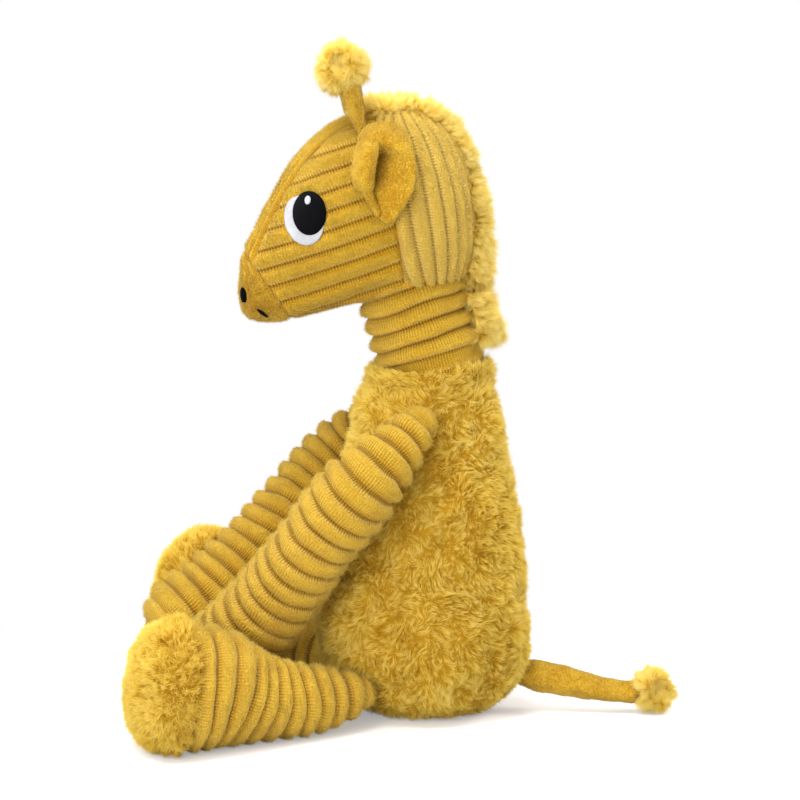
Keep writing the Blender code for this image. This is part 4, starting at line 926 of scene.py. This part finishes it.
def makeHead():
    whole = begin("whole", bpy.ops.mesh.primitive_cube_add, size=2)
    edit(whole)
    bpy.ops.mesh.subdivide(number_cuts=88)
    bpy.ops.object.mode_set(mode="OBJECT")
    ball = unit(np.tan(readPoints(whole.data) * math.pi / 4))
    y = head["nose"][1] + (1 + ball[:, 1]) / 2 * head["length"]
    half, middle, tall = headSection(y)
    turn = np.arctan2(ball[:, 2], ball[:, 0])
    c, s = (np.sign(wave) * np.abs(wave)**(2 / head["power"]) for wave in (np.cos(turn), np.sin(turn)))
    writePoints(whole.data, np.stack([half * c, y, middle + tall * s], axis=1))
    cuts = [(panel["earSeam"], tilted(panel["earLean"])), (panel["muzzleSeam"], tilted(panel["muzzleLean"]))]
    for sign in (1, -1):
        cuts.append(((sign * panel["foreheadNarrow"], head["nose"][1], 0), (1, -sign * stripSlope, 0)))
        cuts.append(((sign * panel["chinHalf"], 0, 0), (1, 0, 0)))
    edit(whole)
    for spot, aim in cuts:
        bpy.ops.mesh.select_all(action="SELECT")
        bpy.ops.mesh.bisect(plane_co=tuple(spot), plane_no=tuple(aim), threshold=1e-6)
    turnOut(whole)
    mesh = whole.data

    centre = read(mesh.polygons, "center", 3)
    behind, ahead, strip, high, out = headZones(centre)
    fBehind, left = behind > 0, centre[:, 0] > 0
    fMuzzle = (ahead < 0) & ~fBehind
    fChin = ~fBehind & ~fMuzzle & ~high & (out < panel["chinHalf"])
    fForehead = ~fBehind & ~fMuzzle & high & (out < strip)
    fFace = ~(fBehind | fMuzzle | fChin | fForehead)

    points, normals = readPoints(mesh), readNormals(mesh)
    behind, ahead, strip, high, out = headZones(points)
    inFace, back = (behind < 0) & (ahead > 0), behind >= 0
    stripEdge = np.abs(out - np.where(high, strip, panel["chinHalf"]))
    seam = np.where(inFace, np.minimum(np.minimum(-behind, ahead), stripEdge), np.where(back, behind, -ahead))
    across = np.array([0, -math.sin(panel["faceRise"]), math.cos(panel["faceRise"])])
    rise = (panel["faceHigh"] - panel["faceLow"]) @ across / panel["faceRibs"]
    bow = 2.5 * mm * np.sin((points[:, 1] - head["nose"][1]) / head["length"] * math.pi)
    faceAt = ((points - panel["faceLow"]) @ across + bow) / rise
    away = points - panel["middle"]
    flatY = away @ tilted(panel["backTilt"])
    backAt = np.arctan2(flatY, np.abs(away[:, 0])) / math.tau * panel["backRibs"] + 0.5
    stripAt = points[:, 0] / panel["foreheadPitch"] + 0.5
    onStrip = inFace & (out < strip) & high
    wave = np.abs(np.sin(math.pi * np.where(back, backAt, np.where(onStrip, stripAt, faceAt))))**0.75
    smooth = (ahead <= 0) | (inFace & ~high & (out < panel["chinHalf"]))
    crown = ramp(4, 16, np.hypot(away[:, 0], flatY))         # the back's ribs die out at their hub
    height = np.where(onStrip, 0.85, 1.0) * np.where(back, 1.3 * crown, 1.0) * np.where(smooth, 0, 1.0)
    fade = 1 - np.exp(-(seam / (1.8 * mm))**2)
    eyeFlat = smoothStep(0.95, 1.25, np.minimum(patchNear(points, "eyeWhite"), patchNear(points, "eyePupil")))
    soft = (eyeFlat * smoothStep(0.9, 2.2, patchNear(points, "nostril"))
            * smoothStep(0.9, 2.2, patchNear(points, "mouthStitch", 1 * mm)))
    lift = ribs["height"] * 1.25 * (wave * 2 - 1.2) * height * fade * eyeFlat - 0.5 * mm * (1 - eyeFlat)
    lift = lift - 0.9 * mm * np.exp(-(seam / (1.1 * mm))**2) - 1.0 * mm * smooth * (behind < 0)
    lift = lift + (0.35 * mm * cloud(points, 8, 70) + 0.7 * mm * cloud(points, 24, 71)) * soft
    writePoints(mesh, points + normals * lift[:, None])
    flatter = np.minimum(height, 1)
    rib = np.where(smooth, 0.9, wave * flatter + (1 - flatter) * 0.8)
    # rib drops near the seams, so the finish paints groove shade along them
    setAttribute(mesh, "rib", rib * (0.35 + 0.65 * fade))
    setAttribute(mesh, "bare", 0.35 + 0.35 * cloud(points, 14, 72))
    corner, (_, totals) = cornerPoints(mesh), loopTotals(mesh)
    kind = np.repeat(np.where(fBehind, 0, np.where(fForehead, 1, 2)), totals)
    along = [away[:, 2], points[:, 1] + points[:, 2], points @ tilted(panel["faceRise"])]
    u, v = (np.choose(kind, [row[corner] for row in rows]) for rows in (along, [backAt, stripAt, faceAt]))
    setCloth(mesh, u / (1.45 * mm), v + 100)

    parts = {"facePanelLeft": (fFace & left, 12000), "facePanelRight": (fFace & ~left, 12000),
             "backPanelLeft": (fBehind & left, 9000), "backPanelRight": (fBehind & ~left, 9000),
             "foreheadPanel": (fForehead, 5000), "muzzlePanel": (fMuzzle, 9000), "chinPanel": (fChin, 4500)}
    for name, (mask, count) in parts.items():
        plain = name in ("muzzlePanel", "chinPanel")
        piece = takeFaces(whole, mask, name)
        modify(piece, "SOLIDIFY", thickness=panel["thick"], offset=-1)
        bpy.ops.object.shade_smooth_by_angle(angle=math.radians(60))
        # painted light: the back panels painted lighter, the face panels darker
        facePile(piece, count, 80 + len(name), plain, 0.9 if "back" in name else -0.4)
        dress(piece, "head", "smooth_plush" if plain else "ribbed_plush")
    bpy.data.objects.remove(whole, do_unlink=True)


# embroidery

discRings = (1, 0.97, 0.92, 0.8, 0.65, 0.5, 0.35, 0.2, 0.08)


def stitchPatch(name, side):
    finish, count = patches[name][8:]
    width, height, lift, crown = (patches[name][n] * mm for n in (0, 1, 6, 7))
    centre, facing, _ = patchFrame(name)
    piece = begin(name + side.title(), bpy.ops.mesh.primitive_circle_add, vertices=72, radius=1, fill_type="NGON")
    edit(piece)
    for last, scale in zip(discRings, discRings[1:]):
        bpy.ops.mesh.extrude_region_move(TRANSFORM_OT_translate={"value": (0, 0, 0)})
        bpy.ops.transform.resize(value=(scale / last, scale / last, 1), center_override=(0, 0, 0))
    bpy.ops.object.mode_set(mode="OBJECT")
    mesh = piece.data
    disc, corner = readPoints(mesh), cornerPoints(mesh)
    far = np.hypot(disc[:, 0], disc[:, 1])
    turns = np.arctan2(disc[:, 1], disc[:, 0]) / math.tau * count
    lifts = lift + crown * np.sqrt(np.maximum(1 - far**5, 0)) - (far > 0.99) * 1.2 * mm
    flat = disc * np.array([width / 2, height / 2, 0])
    points = headRays(centre + flat @ facing.T, np.repeat(facing[:, 2][None], len(disc), axis=0),
                      lifts + np.abs(np.sin(turns * math.pi)) * 0.06 * mm)
    writePoints(mesh, points * np.array([mirror[side], 1, 1]))
    if name == "eyeWhite":                # its threads lie across the ring, the others side by side
        setCloth(mesh, unwrap(mesh, (turns % count)[corner], count), far[corner])
    else:
        setCloth(mesh, (flat[:, 0] / (0.42 * mm))[corner], disc[:, 1][corner])
    turnOut(piece)
    dress(piece, "head", finish + "_thread")


def makeFace():
    for side in mirror:
        for name in patches:
            stitchPatch(name, side)


# ears: rows from the seam down, places from the front edge round to the back edge

ear = {"thick": 2.8 * mm, "outOfHead": 1.6 * mm,
       # from the seam down; each row from the front roll's free edge round behind it to the back edge:
       # out from the head's side, along the head, height, in mm from the ear's root
       "rows": [
           [(1.0, -8.2, -5.8), (1.0, -10.1, -5.8), (0.5, -12.5, -6.3), (0.0, -10.5, -3.4),
            (0.0, -4.6, -1.0), (0.5, 3.0, -1.0), (1.0, 9.0, -5.8)],
           [(7, -7.5, -3.4), (8, -9.8, -2.5), (5, -13.1, -4.4), (4.5, -10.0, 0.4),
            (5, -4.3, 2.3), (5, 3.3, 1.4), (4, 9.8, -4.9)],
           [(10, -5.4, -6.3), (12, -9.7, -6.8), (7, -15.3, -10.1), (11, -8.6, -3.0),
            (11, -2.9, -2.0), (9.5, 4.8, -3.5), (6, 11.4, -10.6)],
           [(9.5, -5.5, -10.6), (13, -10.9, -13.0), (7, -16.3, -14.8), (9.5, -6.3, -7.7),
            (10, -1.1, -6.8), (9.8, 6.0, -9.6), (7, 12.1, -16.7)],
           [(9, -6.5, -15.8), (13, -11.9, -18.6), (7, -16.9, -19.6), (1.0, -6.1, -12.0),
            (2.8, -0.1, -12.0), (6.2, 6.8, -15.7), (8.2, 12.5, -22.9)],
           [(8.5, -7.5, -21.0), (12, -12.4, -23.8), (6.5, -16.5, -24.3), (0.5, -7.6, -19.1),
            (1.5, -1.1, -20.5), (4.2, 5.3, -24.8), (7.8, 11.5, -29.0)],
           [(7.5, -8.0, -26.2), (10, -11.9, -28.0), (6, -15.1, -27.6), (0.8, -8.7, -26.7),
            (2.5, -3.1, -28.6), (5, 3.5, -31.9), (6, 8.6, -34.7)],
           [(4.5, -8.4, -30.0), (6, -10.8, -30.4), (3.5, -12.1, -29.5), (1, -7.8, -32.9),
            (1.8, -4.0, -35.7), (3.5, 1.6, -38.0), (5, 5.4, -39.4)],
           [(2.5, -5.0, -41.4), (3, -4.5, -42.3), (2, -4.5, -42.8), (1.5, -3.5, -43.8),
            (1.5, -2.6, -44.7), (2.5, -0.7, -45.7), (4, 1.1, -44.2)]]}


def makeEar(side):
    pivot, _ = jointPlace("ear_" + side + "_lift")
    rows = np.array(ear["rows"], float)
    down, round_ = (np.arange(n) for n in rows.shape[:2])
    piece = begin("ear" + side.title(), bpy.ops.mesh.primitive_grid_add, x_subdivisions=36, y_subdivisions=44, size=2)
    flat = readPoints(piece.data)
    u, v = (flat[:, 0] + 1) / 2 * round_[-1], (flat[:, 1] + 1) / 2 * down[-1]
    spots = []
    for axis in range(3):
        columns = np.stack([smoothTable(v, down, rows[:, n, axis]) for n in round_], axis=1)
        spots.append(np.array([smoothTable(np.array([a]), round_, line)[0] for a, line in zip(u, columns)]) * mm)
    y, z = spots[1] + pivot.y, spots[2] + pivot.z
    x = headSide(y, np.minimum(z, pivot.z)) + ear["outOfHead"] + spots[0]
    writePoints(piece.data, np.stack([mirror[side] * x, y, z], axis=1))
    modify(piece, "SMOOTH", factor=0.5, iterations=4)
    modify(piece, "SOLIDIFY", thickness=ear["thick"], offset=0)
    modify(piece, "SUBSURF", levels=1, render_levels=1)
    turnOut(piece)
    points = readPoints(piece.data)
    y, z = (points[:, 1] - pivot.y) / mm, (points[:, 2] - pivot.z) / mm
    depth = (np.abs(points[:, 0]) - headSide(points[:, 1], np.minimum(points[:, 2], pivot.z))) / mm
    fold = 0.8 * np.exp(-((y + 4.0 - 0.15 * (z + 16)) / 6)**2 - ((z + 18) / 10)**4) * smoothStep(8.5, 5.0, depth)
    setAttribute(piece.data, "bare", 0.20 + 0.80 * fold)     # painted shade, a little all over the ear and deep inside the fold
    growPile(piece, "smooth", 91, 9000, combed((0, 0.1, -1.0), 0.5, 8, 91), pale=-0.6)
    dress(piece, "ear_" + side, "smooth_plush")


# ossicones and tail

ossicone = {"lean": 15, "back": 6, "drift": -7,              # degrees; the right one stands further back
            # height and radius, in mm
            "rings": [(-2.4, 1.0), (-1.4, 2.0), (0.5, 2.3), (4.0, 2.8), (9.0, 3.9), (15.0, 4.8), (20.0, 5.2),
                      (24.0, 5.0), (25.5, 2.5)]}
tail = {"route": [(0, 0, 0), (4.0, 12.0, -1.5), (8.0, 31.5, -5.5), (10.8, 47.5, -7.0)], "radii": [7.8, 7.5, 6.5, 5.6],
        "root": [(-15, 2), (-14, 4.5), (-9, 6.5), (-4, 7.6)]}


def makeTuft(name, node, body, radius, drift, aim, seed, count, length):     # radius, drift and length in mm
    low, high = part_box(node)
    centre = np.array((low + high) / 2 + Vector(drift) * mm)
    piece = begin(name, bpy.ops.mesh.primitive_uv_sphere_add, segments=40, ring_count=26, radius=radius * mm,
                  location=(0, 0, 0))
    points = readPoints(piece.data)
    aim = np.array(aim) / np.linalg.norm(aim)
    points -= aim * (0.75 * radius * mm * smoothStep(0.62, 1.0, points @ aim / (radius * mm)))[:, None]
    points *= (1 + 0.20 * cloud(points, radius * 0.7, seed))[:, None]
    writePoints(piece.data, points + centre)
    bpy.ops.object.shade_smooth()
    if name == "tailTuft":
        onFloor(piece.data)

    def away(root, normal):
        flow = root - centre
        return flow - aim * (flow @ aim)[:, None] * 0.6 + radius * 0.7 * mm * swirl(root, radius * 0.6, seed)
    growPile(piece, "tuft", seed, count, away, length=length, lumpSize=radius * 0.6)
    dress(piece, body, "long_hair")


def makeOssicone(side):
    body, sign = "ossicone_" + side, mirror[side]
    pivot, _ = jointPlace(body + "_bend")
    lean = math.radians(ossicone["lean"]) - (math.radians(ossicone["back"]) if side == "right" else 0)
    up = (Matrix.Rotation(lean, 3, "X") @ Matrix.Rotation(math.radians(ossicone["drift"]), 3, "Y")
          @ Vector((0, 0, 1)))
    up.x *= sign
    stalk = ringStack("ossicone" + side.title(), [(z * mm, r * mm) for z, r in ossicone["rings"]], 28, 2)
    points = readPoints(stalk.data)
    crease = np.exp(-((np.arctan2(points[:, 1], points[:, 0]) - 0.9) / 0.35)**2)
    points[:, :2] *= (1 - 0.12 * crease + 0.05 * cloud(points, 6, 95))[:, None]
    writePoints(stalk.data, points)
    stalk.data.transform(Matrix.Translation(pivot) @ up.to_track_quat("Z", "Y").to_matrix().to_4x4())
    growPile(stalk, "smooth", 95, 4500, combed((0, 0.1, 1.0), 0.4, 8, 95), bright=0.2)
    dress(stalk, body, "smooth_plush")
    makeTuft("ossiconeTuft" + side.title(), "ossicone_tuft_" + side, body, 8.4, (0, 0.2, -2.4),
             (sign * 1.0, -0.45, 0.1), 96 + sign, 12000, 5.9)


def makeTail():
    pivot, _ = jointPlace("tail_swing")
    line, radii, lengths = smoothRoute(tail)
    total = float(lengths[-1])
    rings = [(z * mm, r * mm) for z, r in tail["root"]]
    rings += [(z, float(np.interp(z, lengths, radii)) * (1 + 0.03 * math.sin(z / mm * 0.55)))
              for z in np.linspace(0, total, 18)]
    stalk = ringStack("tailStalk", rings + [(total + 2 * mm, 3 * mm), (total + 2.4 * mm, 1 * mm)], 32)
    points = readPoints(stalk.data)
    pinch = 1 - 0.14 * np.abs(cloud(points * np.array([1, 1, 0.4]), 5, 97)) + 0.06 * cloud(points, 12, 98)
    points[:, :2] *= pinch[:, None]
    writePoints(stalk.data, points)
    bendAlong(stalk, line)
    stalk.data.transform(Matrix.Translation(pivot))
    onFloor(stalk.data)
    growPile(stalk, "smooth", 97, 7000, combed((0.2, 1.0, -0.2), 0.5, 8, 97), length=1.2, bright=0.2)
    dress(stalk, "tail", "smooth_plush")
    makeTuft("tailTuft", "tail_tuft", "tail", 7.2, (0, 0.6, 0.6), (1.0, 0.4, 0.2), 99, 10000, 5.8)


def makeEarsAndTail():
    for side in mirror:
        makeEar(side)
        makeOssicone(side)
    makeTail()


# manes

mane = {"half": 12.5 * mm, "core": 2.4 * mm, "neckCore": 6.0 * mm, "front": headPlace(0.510, 0.995),
        "end": math.radians(-56), "drop": 4.0 * mm, "rows": 64, "neckRows": 26}


def makeStrip(name, body, spine, ups, core, lifts, seed, count, **changes):
    steps = len(spine)
    piece = begin(name, bpy.ops.mesh.primitive_grid_add, x_subdivisions=12, y_subdivisions=steps - 1, size=2)
    flat = readPoints(piece.data)
    row = np.rint((flat[:, 1] + 1) / 2 * (steps - 1)).astype(int)
    across, ends = flat[:, 0], np.minimum(1, np.minimum(row + 1, steps - row) / 4)
    rise = core * np.sqrt(np.maximum(1 - across**2 * 0.98, 0)) * ends
    rise += lifts[row] * (1 - across**4) - mane["drop"] * across**2
    points = spine[row] + ups[row] * rise[:, None]
    points[:, 0] += across * mane["half"] * (0.7 + 0.3 * ends)
    points += ups[row] * (1.3 * mm * cloud(points, 7, seed))[:, None]
    writePoints(piece.data, points)
    modify(piece, "SOLIDIFY", thickness=1.2 * mm, offset=0)
    turnOut(piece)

    def parted(root, normal):             # combed down and to both sides
        return combed((0, 0.35, -0.7), 1.6, 6, seed)(root, normal) + np.sign(root * np.array([1, 0, 0])) * 0.6
    growPile(piece, "mane", seed, count, parted,
             lambda spots, normal, _: ((spots - panel["middle"]) * normal).sum(axis=1) > -5 * mm, **changes)
    dress(piece, body, "long_hair")


def makeManes():
    rows, more = mane["rows"], mane["neckRows"]
    start = mane["front"] - panel["middle"]
    turns = np.linspace(math.atan2(start[2], start[1]), mane["end"], rows)
    aims = np.stack([np.zeros(rows), np.cos(turns), np.sin(turns)], axis=1)
    spine = headRays(np.repeat(panel["middle"][None], rows, axis=0), aims, np.full(rows, 0.6 * mm))
    hang = 6.5 * mm * smoothStep(math.radians(-15), math.radians(-50), turns)
    makeStrip("headMane", "head", spine, aims, mane["core"], hang, 101, 42000)
    heights = np.linspace(0, 27 * mm, more)
    spine = np.array([neckPlace @ Vector((0, neck["radius"] + ribs["height"], h)) for h in heights])
    ups = np.repeat(np.array(neckPlace.to_3x3() @ Vector((0, 1, 0)))[None], more, axis=0)
    makeStrip("neckMane", "neck", spine, ups, mane["neckCore"], -3.5 * mm * ramp(8, 24, heights), 103, 17000,
              length=8.0)


# fillings, hidden inside the covers

def makeFillings():
    fills = {"body_stuffing": "torso", "pellet_bag": "torso", "neck_stuffing": "neck", "head_stuffing": "head"}
    fills.update({f"{limb}_stuffing_{side}": f"{limb}_{side}" for limb in ("arm", "leg") for side in mirror})
    for node, body in fills.items():
        first, *words = node.split("_")
        piece = link(first + "".join(word.title() for word in words), frame["nodes"][node].data.copy())
        turnOut(piece, 0.02 * mm)
        points = readPoints(piece.data)
        inset = mm * ((8 if body == "torso" else 4) + 0.5 * cloud(points, 7, 111))
        writePoints(piece.data, points - readNormals(piece.data) * inset[:, None])
        dress(piece, body, "pellets" if node == "pellet_bag" else "filling")


for stage in (makeCamera, makeRoom, makeTorso, makeNeck, makeLimbs, makeHead, makeFace, makeEarsAndTail, makeManes,
              makeFillings):
    stage()
    print(stage.__name__, "done")
